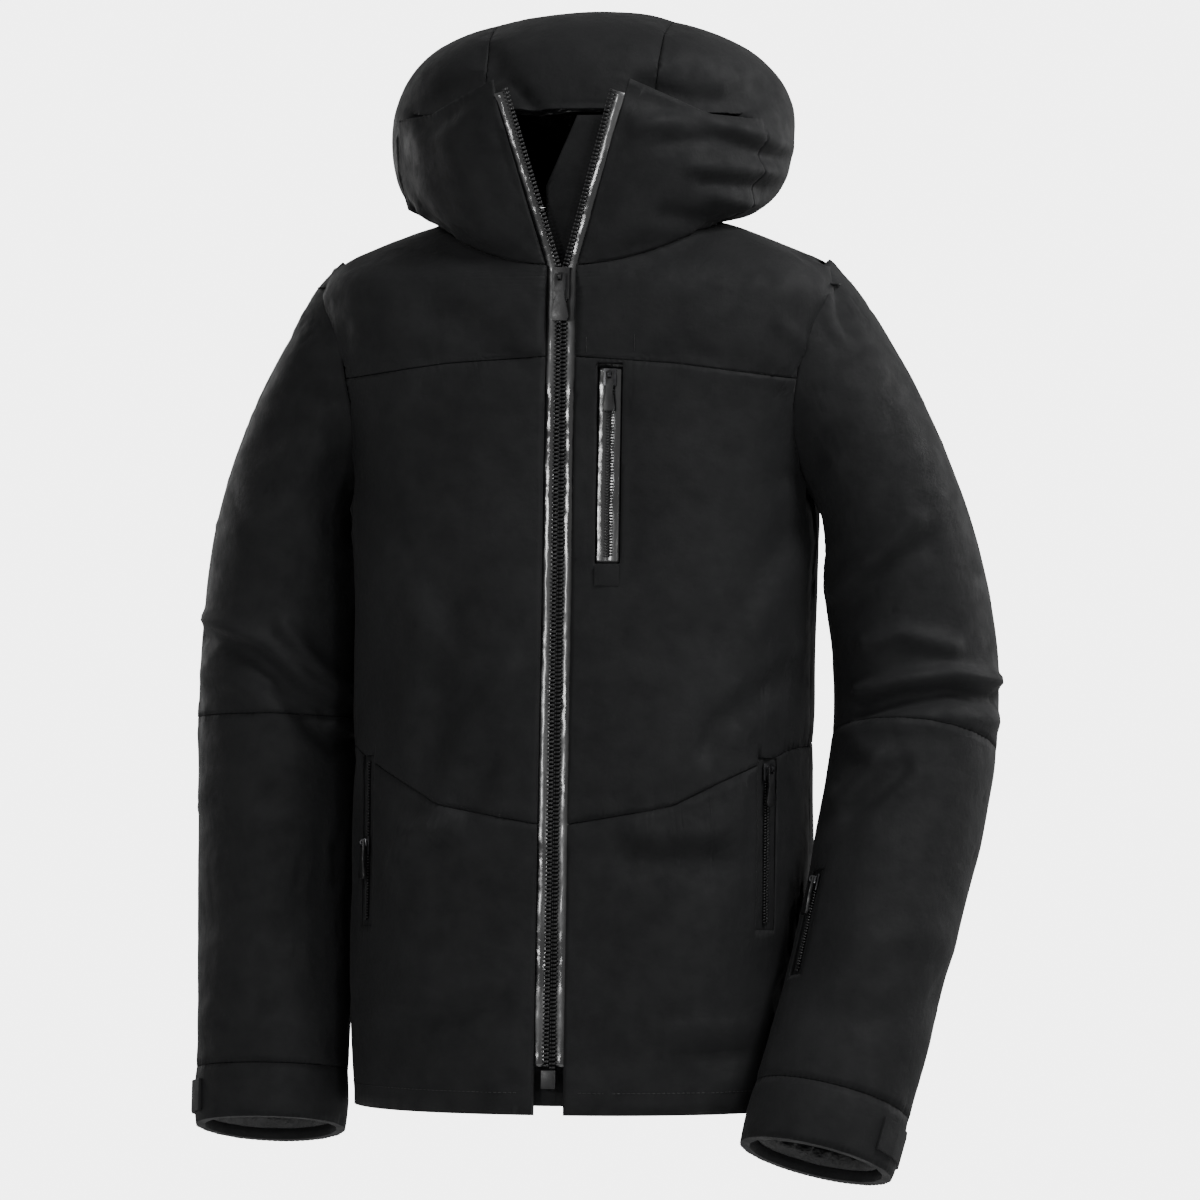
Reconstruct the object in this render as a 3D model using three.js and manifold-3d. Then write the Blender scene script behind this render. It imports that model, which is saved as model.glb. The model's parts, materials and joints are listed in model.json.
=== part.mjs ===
// An insulated ski jacket with a helmet-size hood, sewn from padded panels, with moving zips and cuff tabs.
// Millimetres, +Z up. The front faces -Y and the wearer's right arm is at -X.
// Everything is first laid out above the hem plane (z = 0 at the hem), then the whole jacket is moved so
// that the origin is where a hook carries the hang loop.
import * as THREE from "three";
import { mergeVertices } from "three/addons/utils/BufferGeometryUtils.js";
import Module from "manifold-3d";

const wasm = await Module();
wasm.setup();

// ---------------------------------------------------------------- driving dimensions
// Body, measured on the outside of the padding.
const hemHalfWidth = 174;
const waistHalfWidth = 177;
const armpitHalfWidth = 179;
const shoulderHalfWidth = 203;
const bodyBackY = 118;
const hemBackY = 112;
const zipFootY = -150; // the front line at the hem
const zipHeadY = -95; // the front line at the neck
const neckFrontHeight = 642;
const neckSideHeight = 676;
const neckBackHeight = 690;
const neckHalfWidth = 108;
const neckBackY = 62;
const shoulderHeight = 640;
const armpitHeight = 480;
const sideSeamY = 0;

// Seams that cross the body, as heights at the zip, part of the way out and at the side.
const yokeSeam = { middle: 574, halfway: 568, side: 556 };
const hipSeam = { middle: 217, halfway: 232, side: 277 };

// Hood and collar.
const hoodHalfWidth = 156;
const hoodHeight = 837;
const hoodBackY = 165;
const hoodStripHalfWidth = 68;
const brimHeight = 762;
const brimY = -78;
const chinSeamY = -30;
const chinTipHeight = 785;
const chinTipSpread = 42;
const chinTipY = -107;
const chinDipHeight = 755;

// Sleeves: centre of the elbow and of the cuff rim on each side of the wearer.
const armholeHeight = 169;
const armholeHalfDepth = 64;
const armholeCentreX = 186;
const upperArmHalfWidth = 64;
const elbowHalfWidth = 63;
const cuffHalfWidth = 59;
const cuffLength = 48;
const sleeves = {
  right: { side: -1, elbow: [-243, 10, 330], forearm: [-240, -12, 170], wrist: [-238, -46, -20] },
  left: { side: 1, elbow: [256, 10, 318], forearm: [243, -48, 165], wrist: [202, -128, -33] },
};

// Layers of cloth, from the outside in.
const panelThickness = 9;
const sleeveThickness = 7;
const hoodThickness = 8;
const bagThickness = 1.2;
const liningThickness = 2;
const layerGap = 0.4;
const bagClearance = 1.2;
const seamGap = 0.6;

// Main zip.
const tapeHalfWidth = 11.2;
const tapeThickness = 1.2;
const teethInner = 0.7;
const teethOuter = 4;
const teethThickness = 3.8;
const slotClearance = 0.4;
const sliderLength = 24;
const sliderHalfWidth = 6.5;
const plateThickness = 1.5;
const pullerLength = 34;
const zipFootHeight = 20;
const boxHeight = 14;

// Pocket zips.
const pocketTapeHalfWidth = 9.4;
const pocketSliderLength = 13;
const pocketPullerLength = 28;
const chestZip = { x: 39, top: 572, bottom: 416 };
const handZip = { x: 157, top: 268, bottom: 138 };
const forearmZipLength = 84;
const garageHeight = 19;

// Cuff tab and hang loop.
const tabWidth = 26;
const tabLength = 62;
const tabThickness = 3;
const loopHalfWidth = 26;
const loopRise = 22;
const loopStrapWidth = 7;
const loopStrapThickness = 1.8;

// ---------------------------------------------------------------- mesh helpers
const vec = (x, y, z) => new THREE.Vector3(x, y, z);
const lerp = THREE.MathUtils.lerp;
const smooth = (t) => THREE.MathUtils.smoothstep(t, 0, 1);

// A closed solid from triangles that list three points each.
function solidFromTriangles(points) {
  const geometry = new THREE.BufferGeometry().setFromPoints(points);
  return solidFromGeometry(geometry);
}

function solidFromGeometry(geometry) {
  const bare = new THREE.BufferGeometry().setAttribute("position", geometry.getAttribute("position"));
  if (geometry.index) bare.setIndex(geometry.index);
  const merged = mergeVertices(bare, 1e-4);
  const mesh = new wasm.Mesh({
    numProp: 3,
    vertProperties: merged.getAttribute("position").array,
    triVerts: new Uint32Array(merged.index.array),
  });
  return new wasm.Manifold(mesh);
}

function geometryFromSolid(solid) {
  const mesh = solid.getMesh();
  const geometry = new THREE.BufferGeometry();
  const positions = new Float32Array(mesh.numVert * 3);
  for (let i = 0; i < mesh.numVert; i++) {
    positions.set(mesh.vertProperties.subarray(i * mesh.numProp, i * mesh.numProp + 3), i * 3);
  }
  geometry.setAttribute("position", new THREE.BufferAttribute(positions, 3));
  geometry.setIndex(new THREE.BufferAttribute(mesh.triVerts, 1));
  geometry.computeVertexNormals();
  return geometry;
}

// The largest connected body of a solid, which drops slivers that a cut leaves.
function mainBody(solid) {
  const bodies = solid.decompose();
  return bodies.reduce((best, body) => (body.volume() > best.volume() ? body : best), bodies[0]);
}

// Outward normals of a grid of rings (closed round the ring).
function ringNormals(rings) {
  return rings.map((ring, row) =>
    ring.map((_, col) => {
      const count = ring.length;
      const above = rings[Math.min(row + 1, rings.length - 1)][col];
      const below = rings[Math.max(row - 1, 0)][col];
      const along = vec().subVectors(above, below);
      const around = vec().subVectors(ring[(col + 1) % count], ring[(col + count - 1) % count]);
      return vec().crossVectors(around, along).normalize();
    }),
  );
}

function offsetRings(rings, distance) {
  const normals = ringNormals(rings);
  return rings.map((ring, row) =>
    ring.map((p, col) => p.clone().addScaledVector(normals[row][col], distance)),
  );
}

function quad(out, a, b, c, d) {
  out.push(a, b, c, a, c, d);
}

// Side faces of a stack of rings that run anticlockwise seen from the last ring.
function stackFaces(out, rings, flip) {
  for (let row = 0; row + 1 < rings.length; row++) {
    const count = rings[row].length;
    for (let col = 0; col < count; col++) {
      const next = (col + 1) % count;
      const corners = [rings[row][col], rings[row][next], rings[row + 1][next], rings[row + 1][col]];
      if (flip) corners.reverse();
      quad(out, ...corners);
    }
  }
}

// A tube wall between two stacks of rings, open at both ends.
function wallSolid(outer, inner) {
  const out = [];
  stackFaces(out, outer, false);
  stackFaces(out, inner, true);
  const last = outer.length - 1;
  outer[0].forEach((_, col) => {
    const next = (col + 1) % outer[0].length;
    quad(out, inner[0][col], inner[0][next], outer[0][next], outer[0][col]);
    quad(out, outer[last][col], outer[last][next], inner[last][next], inner[last][col]);
  });
  return solidFromTriangles(out);
}

// A filled stack of rings, closed by a fan at each end.
function filledSolid(rings) {
  const out = [];
  stackFaces(out, rings, false);
  const centre = (ring) => ring.reduce((sum, p) => sum.add(p), vec()).divideScalar(ring.length);
  const first = rings[0];
  const last = rings[rings.length - 1];
  const bottom = centre(first);
  const top = centre(last);
  first.forEach((_, col) => {
    const next = (col + 1) % first.length;
    out.push(bottom, first[next], first[col]);
    out.push(top, last[col], last[next]);
  });
  return solidFromTriangles(out);
}

// A sheet of the given thickness from an open grid of points and its outward normals.
function sheetSolid(grid, normals, thickness) {
  const back = grid.map((row, r) => row.map((p, c) => p.clone().addScaledVector(normals[r][c], -thickness)));
  const out = [];
  const rows = grid.length;
  const cols = grid[0].length;
  for (let r = 0; r + 1 < rows; r++) {
    for (let c = 0; c + 1 < cols; c++) {
      quad(out, grid[r][c], grid[r][c + 1], grid[r + 1][c + 1], grid[r + 1][c]);
      quad(out, back[r][c], back[r + 1][c], back[r + 1][c + 1], back[r][c + 1]);
    }
  }
  for (let c = 0; c + 1 < cols; c++) {
    quad(out, grid[0][c], back[0][c], back[0][c + 1], grid[0][c + 1]);
    quad(out, grid[rows - 1][c], grid[rows - 1][c + 1], back[rows - 1][c + 1], back[rows - 1][c]);
  }
  for (let r = 0; r + 1 < rows; r++) {
    quad(out, grid[r][0], grid[r + 1][0], back[r + 1][0], back[r][0]);
    quad(out, grid[r][cols - 1], back[r][cols - 1], back[r + 1][cols - 1], grid[r + 1][cols - 1]);
  }
  return solidFromTriangles(out);
}

// A prism along Y from an outline of [x, z] pairs.
function prismAlongY(outline, fromY, toY) {
  const shape = new THREE.Shape(outline.map(([x, z]) => new THREE.Vector2(x, z)));
  const geometry = new THREE.ExtrudeGeometry(shape, { depth: toY - fromY, bevelEnabled: false });
  geometry.rotateX(Math.PI / 2);
  geometry.translate(0, toY, 0);
  return solidFromGeometry(geometry);
}

function boxSolid(minimum, maximum) {
  const size = maximum.map((v, i) => v - minimum[i]);
  const geometry = new THREE.BoxGeometry(...size);
  geometry.translate(...minimum.map((v, i) => v + size[i] / 2));
  return solidFromGeometry(geometry);
}

const moved = (solid, matrix) => solid.transform(matrix.toArray());

// ---------------------------------------------------------------- body and hood surfaces
const bodySides = 36;
const far = 1200; // past the whole jacket, for the ends of cutting shapes

// One closed ring of a rounded-box outline; its height goes from front to side to back.
function outlineRing({ halfWidth, front, back, heights, power }, count) {
  const middle = (front + back) / 2;
  const depth = (back - front) / 2;
  const ring = [];
  for (let i = 0; i < count; i++) {
    const angle = (i / count) * Math.PI * 2;
    const c = Math.cos(angle);
    const s = Math.sin(angle);
    const x = halfWidth * Math.sign(c) * Math.abs(c) ** (2 / power);
    const y = middle + depth * Math.sign(s) * Math.abs(s) ** (2 / power);
    const end = s < 0 ? heights[0] : heights[2];
    ring.push(vec(x, y, lerp(heights[1], end, s * s)));
  }
  return ring;
}

// The front line is straight from the hem to the neck, so that the zip is straight.
const frontY = (z) => lerp(zipFootY, zipHeadY, z / neckFrontHeight);

function bodyStations() {
  const level = (share) => share * armpitHeight;
  const plain = (z, halfWidth, back, power) => ({
    halfWidth,
    front: frontY(z),
    back,
    heights: [z, z, z],
    power,
  });
  const yoke = (share, halfWidth, backY, power) => {
    const front = lerp(armpitHeight, neckFrontHeight, share);
    const side = lerp(armpitHeight, shoulderHeight, share);
    return { halfWidth, front: frontY(front), back: backY, heights: [front, side, side], power };
  };
  const slope = (share) => {
    const front = lerp(neckFrontHeight - 12, neckFrontHeight, share);
    return {
      halfWidth: lerp(shoulderHalfWidth - 8, neckHalfWidth, share),
      front: frontY(front),
      back: lerp(95, neckBackY, share),
      heights: [front, lerp(shoulderHeight + 2, neckSideHeight, share), lerp(655, neckBackHeight, share)],
      power: lerp(3, 2.2, share),
    };
  };
  return [
    plain(0, hemHalfWidth, hemBackY, 2.3),
    plain(level(0.16), lerp(hemHalfWidth, waistHalfWidth, 0.6), lerp(hemBackY, bodyBackY, 0.6), 2.3),
    plain(level(0.36), waistHalfWidth, bodyBackY, 2.3),
    plain(level(0.56), waistHalfWidth, bodyBackY, 2.3),
    plain(level(0.8), waistHalfWidth, bodyBackY, 2.4),
    plain(armpitHeight, armpitHalfWidth, bodyBackY, 2.5),
    yoke(0.3, lerp(armpitHalfWidth, shoulderHalfWidth, 0.4), lerp(bodyBackY, 95, 0.2), 2.8),
    yoke(0.6, lerp(armpitHalfWidth, shoulderHalfWidth, 0.85), lerp(bodyBackY, 95, 0.5), 3.1),
    yoke(0.88, shoulderHalfWidth, lerp(bodyBackY, 95, 0.8), 3.2),
    slope(0),
    slope(0.5),
    slope(1),
  ];
}
const ringsOf = (stations, sides) => stations.map((station) => outlineRing(station, sides));
const bodyRings = ringsOf(bodyStations(), bodySides);

// A wall of the body between two depths under its outer surface.
const bodyLayer = (from, to) => wallSolid(offsetRings(bodyRings, -from), offsetRings(bodyRings, -to));

// A height across the body from a seam's three values; x is measured from the zip.
function seamHeight(seam, x) {
  const share = Math.min(Math.abs(x) / waistHalfWidth, 1);
  const near = lerp(seam.middle, seam.halfway, Math.min(share * 2, 1));
  return share < 0.5 ? near : lerp(seam.halfway, seam.side, share * 2 - 1);
}

// An outline between two edges that are functions of x, or numbers.
function bandOutline(fromX, toX, lower, upper, steps = 8) {
  const at = (edge, x) => (typeof edge === "function" ? edge(x) : edge);
  const xs = [...Array(steps + 1).keys()].map((i) => lerp(fromX, toX, i / steps));
  return [...xs.map((x) => [x, at(lower, x)]), ...xs.reverse().map((x) => [x, at(upper, x)])];
}

// ---------------------------------------------------------------- sleeve surface
const sleeveSides = 20;

// Rings of one sleeve between two shares of its length, moved out by a distance. Share 0 is the armhole,
// where the ring stands almost upright; further down the ring lies across the arm.
function sleeveRings({ side, elbow, forearm, wrist }, from, to, count, grow) {
  const armhole = vec(side * armholeCentreX, 0, armpitHeight + armholeHeight / 2);
  const upperArm = vec(lerp(armhole.x, elbow[0], 0.62), 4, lerp(armhole.z, elbow[2], 0.38));
  const path = new THREE.CatmullRomCurve3([armhole, upperArm, vec(...elbow), vec(...forearm), vec(...wrist)]);
  const rings = [];
  for (let i = 0; i <= count; i++) {
    const share = lerp(from, to, i / count);
    const centre = path.getPointAt(Math.min(Math.max(share, 0), 1));
    const tangent = path.getTangentAt(Math.min(Math.max(share, 0), 1));
    if (share > 1) centre.addScaledVector(tangent, (share - 1) * path.getLength());
    if (share < 0) centre.x += side * share * path.getLength();
    const turn = smooth(Math.min(Math.max(share, 0) / 0.32, 1));
    const across = vec(side, 0, 0).addScaledVector(tangent, -tangent.x * side).normalize();
    const upright = vec(side * 0.17, 0, 1).normalize();
    const outward = upright.clone().lerp(across, turn).normalize();
    const depth = vec().crossVectors(tangent, outward).normalize().multiplyScalar(-side);
    depth.lerp(vec(0, 1, 0), 1 - turn).normalize();
    const toElbow = smooth(Math.min(Math.max(share, 0) / 0.2, 1));
    const toCuff = smooth(Math.min(Math.max(share - 0.45, 0) / 0.55, 1));
    const halfAcross = lerp(lerp(armholeHeight / 2, elbowHalfWidth, toElbow), cuffHalfWidth, toCuff);
    const arm = lerp(upperArmHalfWidth, elbowHalfWidth, toElbow);
    const halfDepth = lerp(lerp(armholeHalfDepth, arm, turn), cuffHalfWidth * 0.8, toCuff);
    const ring = [];
    for (let k = 0; k < sleeveSides; k++) {
      const angle = (-side * k * Math.PI * 2) / sleeveSides;
      const point = centre.clone().addScaledVector(outward, Math.cos(angle) * (halfAcross + grow));
      ring.push(point.addScaledVector(depth, Math.sin(angle) * (halfDepth + grow)));
    }
    rings.push(ring);
  }
  return rings;
}

const sleeveWall = (sleeve, from, to, count, outer, inner) =>
  wallSolid(sleeveRings(sleeve, from, to, count, outer), sleeveRings(sleeve, from, to, count, inner));

const sleeveLength = 640;
const endGap = seamGap / sleeveLength;
const elbowShare = 0.47;
const cuffShare = 1 - cuffLength / sleeveLength;
const upperSteps = 9;

// The whole space that a sleeve takes, reaching in through the body wall, for cutting the armhole.
function armholeCutter(sleeve) {
  const inside = sleeveRings(sleeve, -0.06, -0.06, 1, layerGap).slice(0, 1);
  return filledSolid([...inside, ...sleeveRings(sleeve, -0.015, elbowShare - endGap, upperSteps, layerGap)]);
}

// ---------------------------------------------------------------- the jacket's nodes
const jacket = new THREE.Group();
const cloth = { color: 0x16171a, roughness: 0.92, metalness: 0 };
const liningCloth = { color: 0x1c1d21, roughness: 0.55, metalness: 0 };
const laminate = { color: 0x1a1b1e, roughness: 0.3, metalness: 0 };
const plastic = { color: 0x141416, roughness: 0.45, metalness: 0 };
const paintedMetal = { color: 0x2a2b2e, roughness: 0.4, metalness: 0.6 };

function addNode(name, solid, look, parent = jacket) {
  const mesh = new THREE.Mesh(geometryFromSolid(solid), new THREE.MeshStandardMaterial(look));
  mesh.name = name;
  parent.add(mesh);
  return mesh;
}

// A frame on a surface: X across, Y into the body, Z up along the line from its bottom to its top.
function surfaceFrame(bottom, top, outward) {
  const up = vec().subVectors(top, bottom).normalize();
  const inward = outward.clone().negate();
  const across = vec().crossVectors(inward, up).normalize();
  const depth = vec().crossVectors(up, across).normalize();
  const frame = new THREE.Matrix4().makeBasis(across, depth, up);
  return frame.setPosition(top);
}

// A point and its outward direction on the front of the body.
function frontPoint(x, z) {
  const halfWidth = z < armpitHeight ? waistHalfWidth : lerp(armpitHalfWidth, shoulderHalfWidth, 0.4);
  const power = 2.35;
  const back = bodyBackY;
  const at = (px, pz) => {
    const middle = (frontY(pz) + back) / 2;
    const depth = (back - frontY(pz)) / 2;
    return vec(px, middle - depth * (1 - Math.abs(px / halfWidth) ** power) ** (1 / power), pz);
  };
  const point = at(x, z);
  const across = vec().subVectors(at(x + 1, z), at(x - 1, z));
  const up = vec().subVectors(at(x, z + 1), at(x, z - 1));
  return { point, outward: vec().crossVectors(across, up).normalize() };
}

const zipEdge = tapeHalfWidth + slotClearance * 2;
const halves = { right: -1, left: 1 };

// Main zip: everything on it is laid out from the zip's head, with Z up along the front line.
const zipLean = Math.atan2(zipHeadY - zipFootY, neckFrontHeight);
const zipFrame = new THREE.Matrix4().makeRotationX(-zipLean);
zipFrame.setPosition(0, zipHeadY, neckFrontHeight);
const zipLength = (neckFrontHeight - zipFootHeight) / Math.cos(zipLean);

// The line from the zip's head to the tip of one chin panel.
function chinLine(side) {
  const start = vec(0, zipHeadY, neckFrontHeight);
  const end = vec(side * chinTipSpread, chinTipY, chinTipHeight);
  return { start, end };
}
const chinEdgeX = (z) => lerp(0, chinTipSpread, (z - neckFrontHeight) / (chinTipHeight - neckFrontHeight));

// Body panels are cut from one padded wall by the seams, the side seams, the zip and the armholes.
const padding = bodyLayer(0, panelThickness);
const armholes = Object.values(sleeves).map(armholeCutter);
const cutArmholes = (solid) => armholes.reduce((rest, hole) => rest.subtract(hole), solid);
const paddingWithArmholes = cutArmholes(padding);

const yokeAt = (x) => seamHeight(yokeSeam, x);
const hipAt = (x) => seamHeight(hipSeam, x);
const panelRows = [
  { name: "lower", lower: -far, upper: (x) => hipAt(x) - seamGap / 2 },
  { name: "chest", lower: (x) => hipAt(x) + seamGap / 2, upper: (x) => yokeAt(x) - seamGap / 2 },
  { name: "yoke", lower: (x) => yokeAt(x) + seamGap / 2, upper: far },
];

function frontPanels() {
  const panels = {};
  for (const [name, side] of Object.entries(halves)) {
    for (const row of panelRows) {
      const inner = side * zipEdge;
      const outer = side * (shoulderHalfWidth + 20);
      const outline = bandOutline(Math.min(inner, outer), Math.max(inner, outer), row.lower, row.upper, 16);
      panels[`front_${name}_${row.name}`] = mainBody(
        paddingWithArmholes.intersect(prismAlongY(outline, -far, sideSeamY - seamGap / 2)),
      );
    }
  }
  return panels;
}

// Shell pieces are kept here until the pocket zips have been cut into them.
const shell = frontPanels();

const backRows = [
  { name: "lower", lower: -far, upper: hipSeam.side - seamGap / 2 },
  { name: "panel", lower: hipSeam.side + seamGap / 2, upper: yokeSeam.side - seamGap / 2 },
  { name: "yoke", lower: yokeSeam.side + seamGap / 2, upper: far },
];
for (const row of backRows) {
  const outline = bandOutline(-far, far, row.lower, row.upper, 1);
  const solid = paddingWithArmholes.intersect(prismAlongY(outline, sideSeamY + seamGap / 2, far));
  shell[`back_${row.name}`] = mainBody(solid);
}

// Sleeves: an upper sleeve, a forearm and a cuff end to end.
for (const [name, sleeve] of Object.entries(sleeves)) {
  const parts = [
    ["upper", -0.015, elbowShare - endGap, upperSteps],
    ["forearm", elbowShare, cuffShare - endGap, 6],
    ["cuff", cuffShare, 1, 1],
  ];
  for (const [part, from, to, count] of parts) {
    shell[`sleeve_${name}_${part}`] = sleeveWall(sleeve, from, to, count, 0, -sleeveThickness);
  }
  const liningTop = 0.24;
  const depth = sleeveThickness + layerGap + 1;
  const lining = sleeveWall(sleeve, liningTop, 1 - endGap * 12, 8, -depth, -depth - liningThickness);
  addNode(`sleeve_${name}_lining`, lining, liningCloth);
}

// ---------------------------------------------------------------- hood and collar
const hoodSides = 28;

function hoodStations() {
  const middle = (brimHeight + neckSideHeight) / 2;
  const rise = (share) => lerp(brimHeight, hoodHeight, share);
  const round = (share) => Math.sqrt(1 - share * share);
  const dome = (share) => ({
    halfWidth: hoodHalfWidth * round(share) ** 0.85,
    front: lerp(0, brimY, round(share)),
    back: lerp(40, hoodBackY, round(share)),
    heights: [rise(share), rise(share), rise(share)],
    power: 2.2,
  });
  return [
    {
      halfWidth: neckHalfWidth + 4,
      front: zipHeadY,
      back: neckBackY + 3,
      heights: [neckFrontHeight, neckSideHeight, neckBackHeight].map((z) => z + seamGap),
      power: 2.2,
    },
    {
      halfWidth: lerp(neckHalfWidth, hoodHalfWidth, 0.66),
      front: lerp(zipHeadY, chinTipY, 0.2),
      back: lerp(neckBackY, hoodBackY, 0.5),
      heights: [neckFrontHeight + 24, neckSideHeight + 12, neckBackHeight + 14],
      power: 2.3,
    },
    {
      halfWidth: lerp(neckHalfWidth, hoodHalfWidth, 0.95),
      front: lerp(zipHeadY, chinTipY, 0.45),
      back: lerp(neckBackY, hoodBackY, 0.86),
      heights: [middle - 14, middle - 4, middle],
      power: 2.3,
    },
    {
      halfWidth: hoodHalfWidth,
      front: lerp(zipHeadY, chinTipY, 0.7),
      back: hoodBackY,
      heights: [brimHeight - 24, brimHeight - 20, brimHeight - 14],
      power: 2.3,
    },
    dome(0.08),
    dome(0.45),
    dome(0.74),
    dome(0.91),
    dome(0.985),
  ];
}

// The collar stands in front of the brim, so it keeps its own front line up to the chin tips.
function chinStations() {
  const share = (z) => (z - neckFrontHeight) / (chinTipHeight - neckFrontHeight);
  const tall = hoodStations().slice(0, 4);
  const top = { ...tall[3], front: chinTipY, heights: [1, 1, 1].map((k) => k * (chinTipHeight + 6)) };
  return [...tall, top].map((station) => ({
    ...station,
    front: lerp(zipHeadY, chinTipY, Math.max(share(station.heights[0]), 0)),
  }));
}

const hoodRings = hoodStations().map((station) => outlineRing(station, hoodSides));
const chinRings = chinStations().map((station) => outlineRing(station, hoodSides));

// A dome between two depths under the hood's outer surface, open at the neck.
function hoodLayer(from, to) {
  const outer = filledSolid(offsetRings(hoodRings, -from));
  const inner = offsetRings(hoodRings, -to);
  const below = inner[0].map((p) => p.clone().add(vec(0, 0, -40)));
  return outer.subtract(filledSolid([below, ...inner]));
}

const faceOpening = prismAlongY(bandOutline(-far, far, -far, brimHeight, 1), -far, chinSeamY);
const stripOutline = [
  [-hoodStripHalfWidth, -far],
  [hoodStripHalfWidth, -far],
  [hoodStripHalfWidth, far],
  [-hoodStripHalfWidth, far],
];
const beside = (side) => {
  const near = side * (hoodStripHalfWidth + seamGap);
  return bandOutline(Math.min(near, side * far), Math.max(near, side * far), -far, far, 1);
};
const hoodPadding = hoodLayer(0, hoodThickness).subtract(faceOpening);
addNode("hood_centre", mainBody(hoodPadding.intersect(prismAlongY(stripOutline, -far, far))), cloth);
for (const [name, side] of Object.entries(halves)) {
  addNode(`hood_${name}`, mainBody(hoodPadding.intersect(prismAlongY(beside(side), -far, far))), cloth);
}
const hoodLiningDepth = hoodThickness + layerGap;
const hoodLining = hoodLayer(hoodLiningDepth, hoodLiningDepth + liningThickness).subtract(faceOpening);
addNode("hood_lining", mainBody(hoodLining), liningCloth);

// Chin panels: the collar on each side of the open zip.
const chinWall = wallSolid(chinRings, offsetRings(chinRings, -hoodThickness));
function chinTop(x) {
  const share = (Math.abs(x) - chinTipSpread) / (hoodHalfWidth * 0.8 - chinTipSpread);
  return lerp(chinTipHeight, chinDipHeight, smooth(Math.min(Math.max(share, 0), 1)));
}
const chinOutline = (side, inset) => {
  const tipX = side * (chinTipSpread + inset);
  const outer = side * (hoodHalfWidth + 10);
  const steps = [0, 0.25, 0.5, 0.75, 1];
  const top = steps.map((t) => lerp(tipX, outer, t)).map((x) => [x, chinTop(x)]);
  const outline = [[side * inset, neckFrontHeight - 2], ...top, [outer, neckFrontHeight - 2]];
  return side > 0 ? outline.reverse() : outline;
};
const chinFront = chinSeamY - seamGap;
for (const [name, side] of Object.entries(halves)) {
  const outline = prismAlongY(chinOutline(side, zipEdge), -far, chinFront);
  addNode(`chin_${name}`, mainBody(chinWall.intersect(outline)), cloth);
}

// ---------------------------------------------------------------- inside the body
const bagDepth = panelThickness + bagClearance;
const liningDepth = bagDepth + bagThickness + bagClearance;
const flapHalfWidth = tapeHalfWidth + 10;
const liningWall = cutArmholes(bodyLayer(liningDepth, liningDepth + liningThickness));
const frontGap = prismAlongY(bandOutline(-flapHalfWidth, flapHalfWidth, -far, far, 1), -far, sideSeamY);
addNode("body_lining", mainBody(liningWall.subtract(frontGap)), liningCloth);

// The storm flap runs behind the zip and stands up past the zip's head on the wearer's left.
const flapTop = lerp(neckFrontHeight, chinTipHeight, 0.8);
function stormFlap() {
  const rows = 14;
  const grid = [];
  const normals = [];
  for (let r = 0; r <= rows; r++) {
    const z = lerp(6, flapTop, r / rows);
    const above = Math.max(z - neckFrontHeight, 0);
    const lean = (chinTipY - zipHeadY) / (chinTipHeight - neckFrontHeight);
    const y = frontY(Math.min(z, neckFrontHeight)) + above * lean + liningDepth;
    const fromX = lerp(-14, 12, smooth(Math.max(z - flapTop + 60, 0) / 60));
    const toX = 18 + chinEdgeX(Math.max(z, neckFrontHeight)) * 0.75;
    const columns = [0, 0.5, 1].map((t) => vec(lerp(fromX, toX, t), y, z));
    grid.push(columns);
    normals.push(columns.map(() => vec(0, -1, 0)));
  }
  return sheetSolid(grid, normals, liningThickness);
}
addNode("storm_flap", stormFlap(), liningCloth);

// ---------------------------------------------------------------- main zip
const zip = new THREE.Group();
zip.applyMatrix4(zipFrame);
jacket.add(zip);
const boxTop = -zipLength + boxHeight;
const teethFront = (panelThickness - teethThickness) / 2;
const teethBack = teethFront + teethThickness;
const tapeFront = teethFront + (teethThickness - tapeThickness) / 2;
const partLine = 1; // the teeth meet one millimetre below the slider's top, where the legs start

// One straight run of tape or teeth, and the leg that follows the chin panel's edge to its tip.
function zipRow(side, fromX, toX, front, back, legShare) {
  const near = side * fromX;
  const away = side * toX;
  const run = boxSolid(
    [Math.min(near, away), front, boxTop + slotClearance],
    [Math.max(near, away), back, -partLine],
  );
  const { start, end } = chinLine(side);
  const inverse = zipFrame.clone().invert();
  const head = start.applyMatrix4(inverse);
  const tip = end.applyMatrix4(inverse);
  const section = (t, drop) => {
    const along = vec().lerpVectors(head, tip, t);
    return [near, away].flatMap((x) =>
      [front, back].map((y) => vec(along.x + x, along.y + y, along.z - drop)),
    );
  };
  const low = section(0, partLine + 0.01);
  const high = section(legShare, 0);
  const [nf, nb, af, ab] = [0, 1, 2, 3];
  const ring = side > 0 ? [nf, af, ab, nb] : [nf, nb, ab, af];
  const rings = [low, high].map((corners) => ring.map((k) => corners[k]));
  return run.add(filledSolid(rings));
}
for (const [name, side] of Object.entries(halves)) {
  const tape = zipRow(side, teethOuter + 0.3, tapeHalfWidth, tapeFront, tapeFront + tapeThickness, 0.95);
  addNode(`main_zip_tape_${name}`, tape, laminate, zip);
  const teeth = zipRow(side, teethInner, teethOuter, teethFront, teethBack, 0.96);
  addNode(`main_zip_teeth_${name}`, teeth, plastic, zip);
}

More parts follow.
